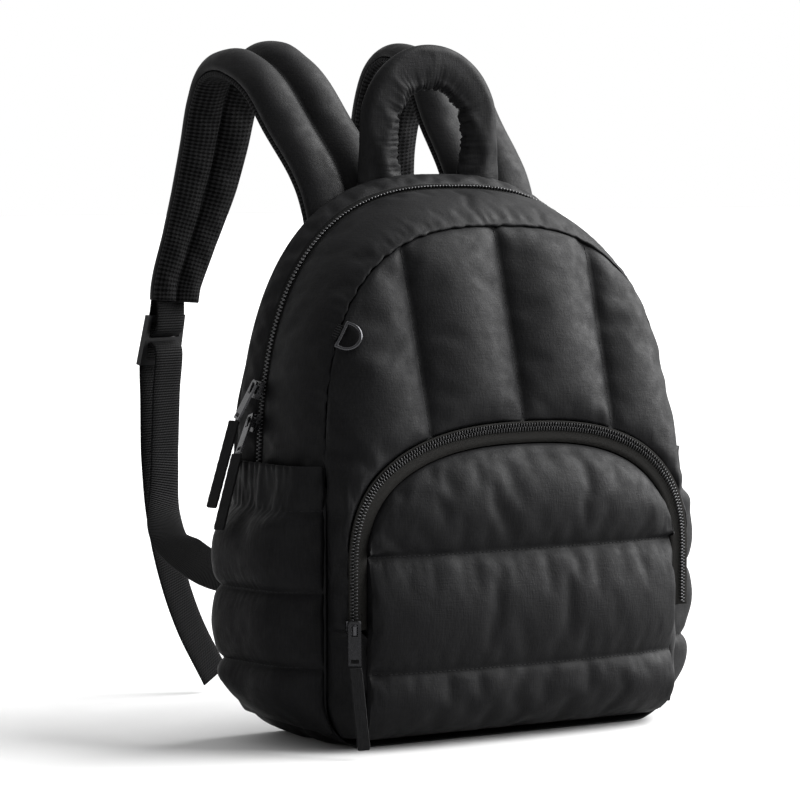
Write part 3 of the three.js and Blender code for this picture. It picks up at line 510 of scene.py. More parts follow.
def pocket_grid(edge_inset=ZIP_INSIDE + SEAM_SLACK):
    columns = np.sin(np.linspace(-math.pi / 2, math.pi / 2, POCKET_COLUMNS))
    width = POCKET_HALF_WIDTH - edge_inset
    x = columns * width

    def arch_share(z):
        high = np.clip((z - POCKET_SPRING) / (POCKET_APEX - POCKET_SPRING - edge_inset), 0, 1)
        return (1 - high ** POCKET_POWER) ** (1 / POCKET_POWER)

    top = pocket_top(edge_inset, x * arch_share(UPPER_QUILT_Z + 2))
    levels = (POCKET_BOTTOM_Z, LOWER_QUILT_Z, UPPER_QUILT_Z, top)
    z, share = [], []
    for low, high, steps in zip(levels, levels[1:], POCKET_STEPS):
        t = np.linspace(0, 1, steps + 1)[0 if not z else 1:]
        for s in t:
            z.append(lerp(low, high, s) * np.ones_like(x))
            share.append(s)
    z = np.array(z)
    base = pocket_point(x[None] * arch_share(np.minimum(z, UPPER_QUILT_Z + 2)), z)
    rise = pillow((z - POCKET_BOTTOM_Z) / (pocket_top(edge_inset, x) - POCKET_BOTTOM_Z), 4)
    base[..., 1] -= POCKET_BULGE * rise * (1 - np.abs(columns) ** 3)[None]
    base[0, :, 1] = lerp(POCKET_ZIP_Y, FRONT_SEAM_Y, 0.7)
    height = 5.0 * (pillow(np.array(share), 2) ** 0.7)[:, None] * (np.abs(columns) < 0.9999)[None]
    height += 2.2 * np.exp(-((z - LOWER_QUILT_Z) / 6) ** 2) * (1 - np.abs(columns) ** 8)[None]
    pins = np.zeros(z.shape, bool)
    pins[[0, LOWER_SEAM_ROW, UPPER_SEAM_ROW, POCKET_TOP_ROW]] = True
    pins[:, [0, -1]] = True
    return base, height, pins


def back_grid():
    rim = 0.35
    width = BACK_HALF_WIDTH - rim
    columns = np.sin(np.linspace(-math.pi / 2, math.pi / 2, BACK_COLUMNS))
    x = columns * width
    share = np.minimum(1, np.abs(x) / width)
    top = SPRING_HEIGHT + (BACK_APEX - rim - SPRING_HEIGHT) * (1 - share ** ARCH_POWER) ** (1 / ARCH_POWER)
    over = np.maximum(0, np.abs(x) - (width - BACK_CORNER_RADIUS))
    foot = rim + BACK_CORNER_RADIUS - np.sqrt(np.maximum(0, BACK_CORNER_RADIUS ** 2 - over ** 2))
    t = np.linspace(0, 1, BACK_ROWS)[:, None]
    z = foot[None] * (1 - t) + top[None] * t
    base = point(x[None] * np.ones_like(z), BACK_SEAM_Y, z)
    height = BACK_PUFF * (1 - np.abs(columns) ** 6)[None] * pillow(t, 4)
    pins = np.zeros(z.shape, bool)
    pins[[0, -1]] = pins[:, [0, -1]] = True
    return base, height, pins


def gathers(grid, rows=(), cols=(), size=0.6, pitch=9.0, reach=14.0, seed=1, dip=0.0, dip_width=3.5,
            rim_share=1.0):
    """Height of the small folds that run out from a grid's seams, with the seams drawn in by a dip."""
    down, over = lengths_along(grid, 0), lengths_along(grid, 1)
    seams = [(down - down[k], over[k][None]) for k in rows]
    seams += [(over - over[:, k][:, None], down[:, k][:, None]) for k in cols]
    draw = np.random.default_rng(seed)
    total = np.zeros(grid.shape[:2])
    for gap, run in seams:
        away_from = np.abs(gap)
        for which in (-1, 1):
            w = 0
            for _ in range(6):
                length = pitch * draw.uniform(0.55, 1.8)
                slant = draw.normal() * 0.25
                at = run + slant * away_from
                w = w + np.sin(2 * math.pi * at / length + draw.uniform(0, 6.28))
            w = 0.7 - np.abs(w / 2.0) ** 0.8
            fade = np.exp(-away_from / reach) * (away_from / (away_from + 2.0))
            total += np.where(np.sign(gap) == which, w * fade, 0)
    total *= size
    for gap, _ in seams:
        total -= dip * np.exp(-(np.abs(gap) / dip_width) ** 1.2)
    rim = np.minimum(np.minimum(down, down[-1] - down), np.minimum(over, over[:, -1:] - over))
    return total * (rim_share + (1 - rim_share) * smooth(rim, 0, 5))


def padded_face(name, grid, share=0.75, folds=(), **settings):
    base, height, pins = grid
    out = -inward(base)
    start = settled(base + out * (height * share)[..., None])
    normal = grid_normals(start)
    flip = float((normal * out).sum(-1).mean()) < 0
    pieces[name] = dict(inner=settled(base + inward(base) * PANEL_WALL), pins=pins, folds=folds)
    cloth(name, start, pins, flip=flip, **settings)


_, _, rib_share, quilt_share = dense_ribs()
QUILT_RIBS = [int(k) for k in np.flatnonzero(np.isclose(rib_share, quilt_share) | (rib_share == 0))]
padded_face("front_panel", front_panel(), share=0.82, pressure=0.7, grow=0.012, cap=4, bending=0.5, folds=[
    dict(rows=QUILT_RIBS, cols=[0, FRONT_STEPS - 1], size=0.9, pitch=8, reach=10, seed=3,
         dip=1.9, dip_width=2.8),
])
pocket_sides = [0, POCKET_COLUMNS - 1]
padded_face("pocket_panel", pocket_grid(), share=1.0, pressure=0.8, grow=0.019, cap=5, bending=0.2, folds=[
    dict(rows=[0, UPPER_SEAM_ROW, POCKET_TOP_ROW], cols=pocket_sides, size=0.8, pitch=8, reach=15, seed=4,
         dip=1.5, rim_share=0.2),
    dict(rows=[LOWER_SEAM_ROW], size=0.6, pitch=8, reach=12, seed=15, dip=1.0, dip_width=1.6, rim_share=0.2),
    dict(rows=[POCKET_TOP_ROW], cols=pocket_sides, size=1.0, pitch=5.5, reach=6, seed=14),
])


def moved_level(level, offset):
    """A level across the gusset, moved back by an offset in millimetres."""
    return lambda z: level + offset * level_gap(z)


front_edge, back_edge = moved_level(0, SEAM_SLACK), moved_level(1, -SEAM_SLACK)
zip_front = moved_level(MAIN_ZIP_LEVEL, -MAIN_ZIP_HALF - SEAM_SLACK)
zip_back = moved_level(MAIN_ZIP_LEVEL, MAIN_ZIP_HALF + SEAM_SLACK)
padded_face("gusset_front", strip(q_over_arch(180), front_edge, zip_front, 18, GUSSET_PUFF),
            pressure=0.35, grow=0.015, cap=3, bending=0.3,
            folds=[dict(cols=[0], size=2.3, pitch=8, reach=8, seed=5, dip=0.5)])
padded_face("gusset_back", strip(q_over_arch(180), zip_back, back_edge, 8, GUSSET_PUFF * 0.6),
            pressure=0.4, grow=0.02, cap=3, bending=0.2,
            folds=[dict(cols=[7], size=0.8, pitch=8, reach=8, seed=6)])
padded_face("gusset_base", strip(q_round_base(150), front_edge, back_edge, 20, GUSSET_PUFF),
            pressure=0.2, grow=0.01, cap=2, bending=0.3)
padded_face("back_panel", back_grid(), pressure=0.3, grow=0.015, cap=5, bending=0.5, folds=[
    dict(rows=[0, BACK_ROWS - 1], cols=[0, BACK_COLUMNS - 1], size=0.8, pitch=10, reach=14, seed=7),
])


# Side pockets: rows up the pocket, with its bulge and its gathers, as part.mjs has them
ELASTIC_FOOT = SIDE_POCKET_TOP - ELASTIC_HEIGHT
SIDE_ROWS = [
    dict(q=1.55, bulge=0),
    dict(q=1.75, bulge=0.3),
    dict(q=1.93, bulge=0.6),
    dict(z=0.5 * (SIDE_SEAM_LOWER_Z + CORNER_RADIUS), bulge=0.84),
    dict(z=SIDE_SEAM_LOWER_Z, bulge=0.76),
    dict(z=0.5 * (SIDE_SEAM_LOWER_Z + SIDE_SEAM_UPPER_Z), bulge=1),
    dict(z=SIDE_SEAM_UPPER_Z, bulge=0.86),
    dict(z=lerp(SIDE_SEAM_UPPER_Z, ELASTIC_FOOT, 0.35), bulge=1),
    dict(z=lerp(SIDE_SEAM_UPPER_Z, ELASTIC_FOOT, 0.75), bulge=0.84),
    dict(z=ELASTIC_FOOT, bulge=0.46, gather=0.4),
    dict(z=SIDE_POCKET_TOP - 0.5 * ELASTIC_HEIGHT, bulge=0.34, gather=1),
    dict(z=SIDE_POCKET_TOP, bulge=0.32, gather=1),
]
SIDE_STEPS = [3, 3, 3, 4, 8, 8, 7, 6, 5, 5, 5]
GATHERS = [0.07, 0.15, 0.21, 0.30, 0.36, 0.43, 0.52, 0.58, 0.66, 0.75, 0.82, 0.91]


def side_pocket(side):
    level = np.linspace(0.02, 0.98, SIDE_COLUMNS)
    spot = np.linspace(0, 1, SIDE_COLUMNS)
    table = []
    for row in SIDE_ROWS:
        q = row.get("q")
        if q is None:
            q = 2 + (row["z"] - corner(level)) / (SPRING_HEIGHT - corner(level))
        q = q * np.ones_like(level)
        if table:
            q = np.maximum(q, table[-1][0] + 0.06)
        table.append((q, row["bulge"], row.get("gather", 0)))
    rows = []
    for k, steps in enumerate(SIDE_STEPS):
        for s in np.linspace(0, 1, steps + 1)[0 if k == 0 else 1:]:
            q = lerp(table[k][0], table[k + 1][0], s)
            before = table[max(k - 1, 0)][1]
            after = table[min(k + 2, len(table) - 1)][1]
            a, b = table[k][1], table[k + 1][1]
            m0, m1 = (b - before) / 2, (after - a) / 2
            bulge = a + m0 * s + (3 * (b - a) - 2 * m0 - m1) * s ** 2 + (2 * (a - b) + m0 + m1) * s ** 3
            rows.append((q, bulge, lerp(table[k][2], table[k + 1][2], s)))
    ends = np.cumsum(SIDE_STEPS)
    seams = [int(ends[3]), int(ends[5])]
    stitch = int(ends[8])
    creases = sum(np.exp(-((spot - g) / 0.016) ** 2) for g in GATHERS)
    below, outer = [], []
    for q, bulge, gather in rows:
        up = np.minimum(q, 3)
        x, z = outline(level, up)
        z = np.where(q > 3, SPRING_HEIGHT + (q - 3) * (SPRING_HEIGHT - corner(level)), z)
        x = np.where(q > 3, half_width(level), x)
        wave = gather * (creases * -3.0 + 0.9) * pillow(spot, 8)
        mouth = 1 + MOUTH_BIAS * (1 - 2 * level) if gather else 1
        off = GUSSET_PUFF * pillow(level) + 0.4 + mouth * bulge * SIDE_POCKET_BULGE * pillow(spot, 6)
        y = lerp(front_y(z), BACK_SEAM_Y, level)
        below.append(point(side * (x + off), y, z))
        outer.append(point(side * (x + off + SIDE_POCKET_WALL + wave), y, z))
    below, outer = np.array(below), np.array(outer)
    pins = np.zeros(outer.shape[:2], bool)
    pins[[0, -1, stitch, *seams]] = True
    pins[:, [0, -1]] = True
    dip = np.zeros(len(rows))
    for s in seams:
        dip[s] = 1.2
        for near in (s - 1, s + 1):
            dip[near] = 0.3
    dip[stitch] = 0.8
    outer[..., 0] -= side * dip[:, None]
    return below, outer, pins, stitch, seams


side_made = {}
for side, label in ((-1, "left"), (1, "right")):
    below, outer, pins, stitch, seams = side_pocket(side)
    name = f"side_pocket_{label}"
    side_made[label] = (stitch, seams)
    pieces[name] = dict(inner=settled(below), pins=pins, folds=[
        dict(rows=[stitch], size=1.2, pitch=8, reach=12, seed=8 + side, dip=0.9),
        dict(rows=seams, size=0.7, pitch=9, reach=9, seed=18 + side, dip=2.0, dip_width=2.2),
    ])
    start = settled(outer)
    flip = float((grid_normals(start)[..., 0] * side).mean()) < 0
    cloth(name, start, pins, pressure=0.5, grow=0.03, cap=4, bending=0.2, flip=flip)


# Carry handle
def handle_rings(sides=32, count=150):
    base = BACK_APEX - 12
    straight = HANDLE_RISE - HANDLE_HALF_SPACING
    bend = HANDLE_HALF_SPACING
    a = np.linspace(0, math.pi, 60)[1:-1]
    t = np.linspace(0, 1, 24)
    x = np.r_[-bend + 0 * t, -bend * np.cos(a), bend + 0 * t]
    z = np.r_[base + straight * t, base + straight + bend * np.sin(a), base + straight * (1 - t)]
    tangent = np.r_[0 * t, a, 0 * t + math.pi]
    foot = np.r_[1 - t, 0 * a, t]
    at = respaced(point(x, 0, z), count)
    x, z, tangent, foot = (pick(v, at) for v in (x, z, tangent, foot))
    middle = point(x, BACK_SEAM_Y + 6, z)
    across = point(np.cos(tangent), 0, -np.sin(tangent))
    angle = np.linspace(0, 2 * math.pi, sides, endpoint=False)
    wide = HANDLE_WIDTH / 2 * (1 + 0.35 * foot ** 2)
    deep = HANDLE_THICKNESS / 2 * (1 - 0.45 * foot ** 2)
    rings = (middle[:, None] + across[:, None] * (wide[:, None] * np.cos(angle))[..., None]
             + point(0, 1, 0) * (deep[:, None] * np.sin(angle))[..., None])
    pins = np.zeros(rings.shape[:2], bool)
    pins[:3] = pins[-3:] = True
    pins[:, 0] = True
    return rings, pins


rings, handle_pins = handle_rings()
rings = settled(rings)
cloth("carry_handle", rings, handle_pins, wrap=True, pressure=0.25, grow=0.03, cap=1.2, bending=0.1)


# Curves through rows, centripetal as three.js has them
def catmull(points, t):
    last = len(points) - 1
    p = last * np.clip(t, 0, 1)
    k = np.minimum(np.floor(p).astype(int), last - 1)
    w = (p - k)[:, None]
    padded = np.concatenate([[2 * points[0] - points[1]], points, [2 * points[-1] - points[-2]]])
    p0, p1, p2, p3 = (padded[k + n] for n in range(4))
    gap = lambda a, b: np.maximum((((a - b) ** 2).sum(1) ** 0.25), 1e-4)[:, None]
    d0, d1, d2 = gap(p0, p1), gap(p1, p2), gap(p2, p3)
    t1 = ((p1 - p0) / d0 - (p2 - p0) / (d0 + d1) + (p2 - p1) / d1) * d1
    t2 = ((p2 - p1) / d1 - (p3 - p1) / (d1 + d2) + (p3 - p2) / d2) * d1
    return p1 + t1 * w + (-3 * p1 + 3 * p2 - 2 * t1 - t2) * w ** 2 + (2 * p1 - 2 * p2 + t1 + t2) * w ** 3


def tangents(points, t):
    return unit(catmull(points, t + 1e-4) - catmull(points, t - 1e-4))


def column(rows, key, t, default=0.0):
    return np.interp(t * (len(rows) - 1), np.arange(len(rows)), [row.get(key, default) for row in rows])


STRAP_SEAT = BACK_SEAM_Y + BACK_PUFF + STRAP_PADDING - 1
STRAP_ROWS = [
    dict(x=-55, y=STRAP_SEAT, z=304, width=0.98, tip=0, pad=0),
    dict(x=-56, y=STRAP_SEAT + 2.5, z=324, width=1, tip=0, pad=0.1),
    dict(x=-58, y=STRAP_SEAT + 15, z=350, width=1, tip=2, pad=0.6),
    dict(x=-61, y=100, z=382, width=0.98, tip=4, pad=1),
    dict(x=-64, y=124, z=409, width=0.94, tip=7, pad=1),
    dict(x=-66, y=145, z=421, width=0.9, tip=11, pad=1),
    dict(x=-67, y=163, z=424, width=0.87, tip=11, pad=1),
    dict(x=-67, y=181, z=417, width=0.84, tip=8, pad=1),
    dict(x=-67, y=194, z=398, width=0.8, tip=5, pad=1),
    dict(x=-68, y=203, z=370, width=0.76, tip=3, pad=1),
    dict(x=-73, y=209, z=338, width=0.7, tip=3, pad=0.9),
    dict(x=-80, y=213, z=306, width=0.6, tip=4, pad=0.7),
    dict(x=-87, y=215, z=278, width=0.54, tip=5, pad=0.4),
    dict(x=-88, y=215, z=266, width=0.52, tip=5, pad=0.1),
]


def row_points(rows):
    return np.array([[row["x"], row["y"], row["z"]] for row in rows], float)


def strap_frame(side, count=130):
    line = row_points(STRAP_ROWS)
    t = np.linspace(0, 1, count)
    middle, along = catmull(line, t), tangents(line, t)
    tip = np.radians(column(STRAP_ROWS, "tip", t))
    across = point(np.cos(tip), 0, np.sin(tip))
    across = unit(across - along * (across * along).sum(1, keepdims=True))
    out = np.cross(across, along)
    flip = np.array([-side, 1, 1])
    half = STRAP_WIDTH / 2 * column(STRAP_ROWS, "width", t)
    return middle * flip, across * flip, out * flip, half, column(STRAP_ROWS, "pad", t)


def strap_layer(side, thickness, puff, sign):
    middle, across, out, half, pad = strap_frame(side)
    share = np.linspace(-1, 1, STRAP_COLUMNS)
    place = np.arange(STRAP_COLUMNS)
    flat = middle[:, None] + across[:, None] * (half[:, None] * share)[..., None]
    lift = pad[:, None] * pillow((place % STRAP_SEAM) / STRAP_SEAM, 2)[None] ** 0.8
    edge = np.abs(share) ** 8
    high = SEAM_SLACK + (thickness + puff * lift) * (1 - 0.35 * edge)
    high = high - thickness * 0.3 * (place == STRAP_SEAM)
    outer = flat + out[:, None] * (sign * high)[..., None]
    inner = flat + out[:, None] * (sign * SEAM_SLACK)
    pins = np.zeros(outer.shape[:2], bool)
    pins[[0, -1]] = True
    pins[:, [0, STRAP_SEAM, -1]] = True
    return outer, inner, pins, out


for side, label in ((-1, "left"), (1, "right")):
    for name, thickness, puff, sign, settings in (
        ("strap", STRAP_PADDING, STRAP_CHANNEL_PUFF, 1, dict(pressure=0.5, grow=0.01, cap=2, bending=0.5)),
        ("strap_mesh", MESH_THICKNESS, 1.5, -1, dict(pressure=0.3, grow=0.005, cap=1.5, bending=0.5)),
    ):
        outer, inner, pins, out = strap_layer(side, thickness, puff, sign)
        key = f"{name}_{label}"
        start = settled(outer)
        folds = dict(cols=[0, STRAP_SEAM, STRAP_COLUMNS - 1], size=0.3, pitch=8, reach=9, seed=11, dip=0.8)
        if name == "strap_mesh":
            folds = dict(cols=[STRAP_SEAM], size=0.0, dip=1.5, dip_width=3)
        pieces[key] = dict(inner=settled(inner), pins=pins, folds=[folds])
        flip = float((grid_normals(start) * out[:, None] * sign).sum(-1).mean()) < 0
        cloth(key, start, pins, flip=flip, **settings)

simulated = run_cloths()


def outside(name):
    """Directions out of a simulated face."""
    normal = grid_normals(simulated[name])
    out = simulated[name] - pieces[name]["inner"]
    return normal * np.where((normal * out).sum(-1, keepdims=True) < 0, -1, 1)


def calmed(grid, pins, times):
    """A grid with its sharp folds evened out between the seams."""
    for _ in range(times):
        middle = grid.copy()
        middle[1:-1, 1:-1] = (grid[:-2, 1:-1] + grid[2:, 1:-1] + grid[1:-1, :-2] + grid[1:-1, 2:]) / 4
        grid = np.where(pins[..., None], grid, (grid + middle) / 2)
    return grid


for label in ("left", "right"):
    for name in (f"side_pocket_{label}", f"strap_{label}"):
        simulated[name] = calmed(simulated[name], pieces[name]["pins"], 8)

for name, piece in pieces.items():
    for folds in piece["folds"]:
        lift = gathers(simulated[name], **folds)
        simulated[name] = simulated[name] + outside(name) * lift[..., None]

# Nothing reaches below the floor, and the inner faces stay a little above the outer ones
for name, grid in simulated.items():
    grid[..., 2] = np.maximum(grid[..., 2], FLOOR_GAP)
    if name in pieces:
        pieces[name]["inner"][..., 2] = np.maximum(pieces[name]["inner"][..., 2], 2 * FLOOR_GAP)

# The side pockets are sewn into the front seam
for label in ("left", "right"):
    grid = simulated[f"side_pocket_{label}"]
    for first, second in ((0, 1), (-1, -2)):
        if grid[:, first, 1].mean() < grid[:, second, 1].mean():
            step = 1 if first == 0 else -1
            shift = unit(grid[:, first] - grid[:, second])
            sink = outside(f"side_pocket_{label}")[:, first] * 0.9
            for k, share in enumerate((6.0, 4.2, 2.2)):
                grid[:, first + step * k] += shift * share - sink * (k == 0)
band = simulated["gusset_base"]
front = 0 if band[:, 0, 1].mean() < band[:, -1, 1].mean() else -1
band[:, front] += unit(band[:, front] - band[:, 1 if front == 0 else -2]) * 1.3

# The front gusset is puckered where it meets the arch seam
band = simulated["gusset_front"]
draw = np.random.default_rng(31)
run = lengths_along(band, 0)[:, 0]
scallop_lengths = (5.1, 7.3, 9.7, 13.9)
scallop = sum(np.sin(2 * math.pi * run / length + draw.uniform(0, 6.28)) for length in scallop_lengths) / 2
toward = unit(band[:, 0] - band[:, 1])
at_ends = smooth(run, 0, 12) * smooth(run[-1] - run, 0, 12)
slip = ((0.9 + 1.2 * scallop) * at_ends)[:, None] * np.exp(-lengths_along(band, 1) / 3.5)
simulated["gusset_front"] = band + toward[:, None] * slip[..., None]

# The handle's cloth is gathered along its inner edge
rings = simulated["carry_handle"]
draw = np.random.default_rng(21)
run = np.r_[0, np.cumsum(np.linalg.norm(np.diff(rings.mean(1), axis=0), axis=1))]
angle = np.linspace(0, 2 * math.pi, rings.shape[1], endpoint=False)
wave = 0
for length in (4.3, 5.6, 7.2, 9.5):
    phase = draw.uniform(0, 6.28)
    turned = 0.8 * np.sin(angle)[None] * draw.normal()
    wave = wave + np.sin(2 * math.pi * run[:, None] / length + phase + turned)
near = np.exp(-(angle_gap(angle) / 1.0) ** 2)[None]
along_part = smooth(run, 4, 14) * smooth(run[-1] - run, 4, 14)
radial = unit(rings - rings.mean(1, keepdims=True))
pucker = (0.45 - np.abs(wave / 1.8)) * 2.4 * near * along_part[:, None]
simulated["carry_handle"] = rings + radial * pucker[..., None]


# Solid pieces from the simulated faces
SEAM_ROWS = {"front_panel": QUILT_RIBS, "pocket_panel": [LOWER_SEAM_ROW, UPPER_SEAM_ROW]}
SEAM_COLS = {}
for label in ("left", "right"):
    stitch, seams = side_made[label]
    SEAM_ROWS[f"side_pocket_{label}"] = seams
    SEAM_COLS[f"strap_{label}"] = SEAM_COLS[f"strap_mesh_{label}"] = [STRAP_SEAM]


def finish_face(name):
    obj = shell(name + "_cloth", simulated[name], pieces[name]["inner"],
                sharp_rows=SEAM_ROWS.get(name, ()), sharp_cols=SEAM_COLS.get(name, ()))
    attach(obj, "root")
    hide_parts(name)
    return obj


made = {}
for name in ("front_panel", "pocket_panel", "gusset_front", "gusset_back", "gusset_base", "back_panel"):
    made[name] = finish_face(name)
for label in ("left", "right"):
    for kind, fill in (("side_pocket", 0.5), ("strap", 0.7), ("strap_mesh", None)):
        made[f"{kind}_{label}"] = finish_face(f"{kind}_{label}")

handle = closed_tube("carry_handle_cloth", simulated["carry_handle"])
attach(handle, "root")
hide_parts("carry_handle")
made["carry_handle"] = handle


# Webbing: a flat ribbon with soft edges along a route
STRAP_END = STRAP_ROWS[-1]
LOCK = dict(x=STRAP_END["x"] - 4, y=STRAP_END["y"] + 3, top=STRAP_END["z"] - 9)
LOCK["foot"] = LOCK["top"] - LOCK_HEIGHT * math.cos(math.radians(LOCK_TILT))
LOCK["swing"] = LOCK_HEIGHT * math.sin(math.radians(LOCK_TILT))
LOCK_FACE = (LOCK_BAR + WEBBING_THICKNESS) / 2 + 0.3
ANCHOR_SEAT = BACK_SEAM_Y + BACK_PUFF / 2 + 0.5


def lock_row(out, z, drop=0):
    turn = math.radians(LOCK_TURN)
    x = LOCK["x"] - out * math.sin(turn) + drop
    return dict(x=x, y=LOCK["y"] + out * math.cos(turn), z=z, turn=LOCK_TURN)


UPPER_ROUTE = [
    lock_row(-LOCK_FACE, STRAP_END["z"] + 5),
    lock_row(-LOCK_FACE, LOCK["foot"] + LOCK_HEIGHT / 2 + 6),
    lock_row(LOCK["swing"] / 2 - 2.4, LOCK["foot"] + LOCK_HEIGHT / 2 + 2.2),
]
ANCHOR_ROUTE = [
    lock_row(LOCK["swing"] / 2 - 2.4, LOCK["foot"] + LOCK_HEIGHT / 2 - 2.2),
    lock_row(-LOCK_FACE, LOCK["foot"] + LOCK_HEIGHT / 2 - 6),
    lock_row(-LOCK_FACE, 205),
    lock_row(-LOCK_FACE - 1, 160),
    dict(x=LOCK["x"] - 4, y=207, z=130, turn=8),
    dict(x=LOCK["x"] - 16, y=182, z=113, turn=0, stand=10),
    dict(x=-121, y=136, z=105, turn=0, stand=50),
    dict(x=-128.5, y=94, z=99.5, turn=0, stand=80),
    dict(x=-129, y=ANCHOR_SEAT + ANCHOR_TAB - 2, z=99, turn=0, stand=90),
]
TAIL_ROUTE = [
    lock_row(LOCK_FACE + LOCK["swing"] / 2 + 2.6, LOCK["foot"] + LOCK_HEIGHT / 2 + 2),
    lock_row(LOCK_FACE + LOCK["swing"] + 0.3, LOCK["foot"] + LOCK_BAR / 2),
    lock_row(LOCK_FACE + LOCK["swing"] - 2, 200),
    lock_row(LOCK_FACE + 4, 165, 1),
    lock_row(LOCK_FACE + 3, 125, 4),
    lock_row(LOCK_FACE + 3, 85, 13),
    lock_row(LOCK_FACE + 2, 48, 26),
    lock_row(LOCK_FACE, 11, 45),
]
# The second layer of the upper webbing, behind the buckle
BACK_ROUTE = [
    lock_row(LOCK_FACE - 1, STRAP_END["z"] + 5),
    lock_row(LOCK_FACE + 0.6, LOCK["top"]),
    lock_row(LOCK_FACE + LOCK["swing"] / 2, LOCK["foot"] + LOCK_HEIGHT / 2 + 4),
    lock_row(LOCK_FACE + LOCK["swing"] / 2 + 0.6, LOCK["foot"] + LOCK_HEIGHT / 2 - 1.5),
]


def webbing_frame(rows, side, count):
    line = row_points(rows)
    t = np.linspace(0, 1, count)
    middle, along = catmull(line, t), tangents(line, t)
    turn = np.radians(column(rows, "turn", t))
    stand = np.radians(column(rows, "stand", t))
    across = point(np.cos(turn) * np.cos(stand), np.sin(turn) * np.cos(stand), np.sin(stand))
    across = unit(across - along * (across * along).sum(1, keepdims=True))
    out = unit(np.cross(along, across))
    flip = np.array([-side, 1, 1])
    return middle * flip, across * flip, out * flip


RIBBON_TOP = [(-0.485, 0.34), (-0.46, 0.5), (-0.25, 0.5), (0, 0.5), (0.25, 0.5), (0.46, 0.5), (0.485, 0.34)]
RIBBON = [(-0.5, 0), *RIBBON_TOP, (0.5, 0), *((a, -b) for a, b in RIBBON_TOP[::-1])]


def ribbon(name, middle, across, out):
    rings = [middle + across * (a * WEBBING_WIDTH) + out * (b * WEBBING_THICKNESS) for a, b in RIBBON]
    along = np.r_[0, np.cumsum(np.linalg.norm(np.diff(middle, axis=0), axis=1))]
    uv = np.array([[a * WEBBING_WIDTH, s] for s in along for a, _ in RIBBON])
    obj = tube_mesh(name, settled(np.stack(rings, 1)), uv)
    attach(obj, "root")
    return obj


WEBBING_RUNS = [
    ("strap_webbing", UPPER_ROUTE, 14),
    ("anchor_webbing", ANCHOR_ROUTE, 140),
    ("tail", TAIL_ROUTE, 110),
]
for side, label in ((-1, "left"), (1, "right")):
    for name, rows, count in WEBBING_RUNS:
        key = f"{name}_{label}"
        obj = ribbon(key + "_ribbed", *webbing_frame(rows, side, count))
        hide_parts(key)
        made[key] = obj
    made[f"webbing_back_{label}"] = ribbon(f"webbing_back_{label}", *webbing_frame(BACK_ROUTE, side, 14))


def own_axes(name):
    """A solid's points in millimetres, its middle, its directions from the longest on, and its sizes."""
    points = np.array([nodes[name].matrix_world @ v.co for v in nodes[name].data.vertices]) * 1000
    middle = (points.min(0) + points.max(0)) / 2
    _, axes = np.linalg.eigh(np.cov((points - middle).T))
    axes = axes.T[::-1]
    low, high = ((points - middle) @ axes.T).min(0), ((points - middle) @ axes.T).max(0)
    return points, middle + (low + high) / 2 @ axes, axes, high - low


def folded_tab(name, round_end, groove=0.12):
    """A cloth tab folded at its top, with a groove along its sides between the layers and a rounded end."""
    _, middle, axes, size = own_axes(name)
    if axes[0][2] > 0:
        axes[0] = -axes[0]
    axes[2] = np.cross(axes[0], axes[1])
    t = np.r_[np.linspace(0, 0.1, 8)[:-1], np.linspace(0.1, 0.88, 30)[:-1], np.linspace(0.88, 1, 12)]
    along = (t - 0.5) * size[0]
    end = np.minimum(size[0] / 2 - along, round_end)
    half = size[1] / 2 * (0.82 + 0.18 * np.sqrt(np.clip(1 - (1 - end / round_end) ** 2, 0, 1)))
    half = half + 0.12 * np.sin(along * 0.9 + 1) * np.minimum(1, end / round_end) - 0.12
    fold = np.sqrt(np.clip(1 - (1 - np.minimum(along + size[0] / 2, 1.0)) ** 2, 0, 1))
    deep = size[2] / 2 * (0.55 + 0.45 * fold) * np.minimum(1, 0.6 + end / round_end)
    edge = [(-1, groove), (-0.97, 0.75), (-0.9, 1), (-0.8, 0.88), (-0.4, 0.96)]
    layer = edge + [(0, 0.9)] + [(-a, b) for a, b in edge[::-1]]
    section = layer + [(0.94, 0)] + [(a, -b) for a, b in layer[::-1]] + [(-0.94, 0)]
    line = middle + axes[0] * along[:, None]
    wide, thick = axes[1] * half[:, None], axes[2] * deep[:, None]
    rings = np.stack([line + wide * a + thick * b for a, b in section], 1)
    obj = closed_tube(name + "_folded", rings)
    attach(obj, "root")
    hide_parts(name)
    made[name] = obj


def ring_wire(name, wire=1.15, count=96, sides=12):
    """A bent wire that follows the outline of a flat ring."""
    points, middle, axes, _ = own_axes(name)
    flat = (points - middle) @ axes[:2].T
    order = flat[np.lexsort((flat[:, 1], flat[:, 0]))]
    hull = []
    for row in (order, order[::-1]):
        part = []
        for q in row:
            while len(part) > 1 and np.cross(part[-1] - part[-2], q - part[-1]) <= 0:
                part.pop()
            part.append(q)
        hull += part[:-1]
    hull = np.array(hull)
    loop = np.concatenate([hull, hull[:1]])
    line = pick(loop, respaced(loop, count + 1)[:-1])
    for _ in range(3):
        line = (np.roll(line, 1, 0) + 2 * line + np.roll(line, -1, 0)) / 4
    ahead = unit(np.roll(line, -1, 0) - np.roll(line, 1, 0))
    inner = np.stack([-ahead[:, 1], ahead[:, 0]], 1)
    line = line + inner * wire
    a = np.linspace(0, 2 * math.pi, sides, endpoint=False)
    flat_rings = line[:, None] + inner[:, None] * (wire * np.cos(a))[:, None]
    rings = middle + flat_rings @ axes[:2] + axes[2] * (wire * np.sin(a))[None, :, None]
    points = rings.reshape(-1, 3)
    faces = [[int(v) % (count * sides) for v in f] for f in grid_faces(count + 1, sides, wrap=True)]
    obj = new_mesh(name + "_wire", points, facing_out(points, faces))
    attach(obj, "root")
    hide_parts(name)
    made[name] = obj


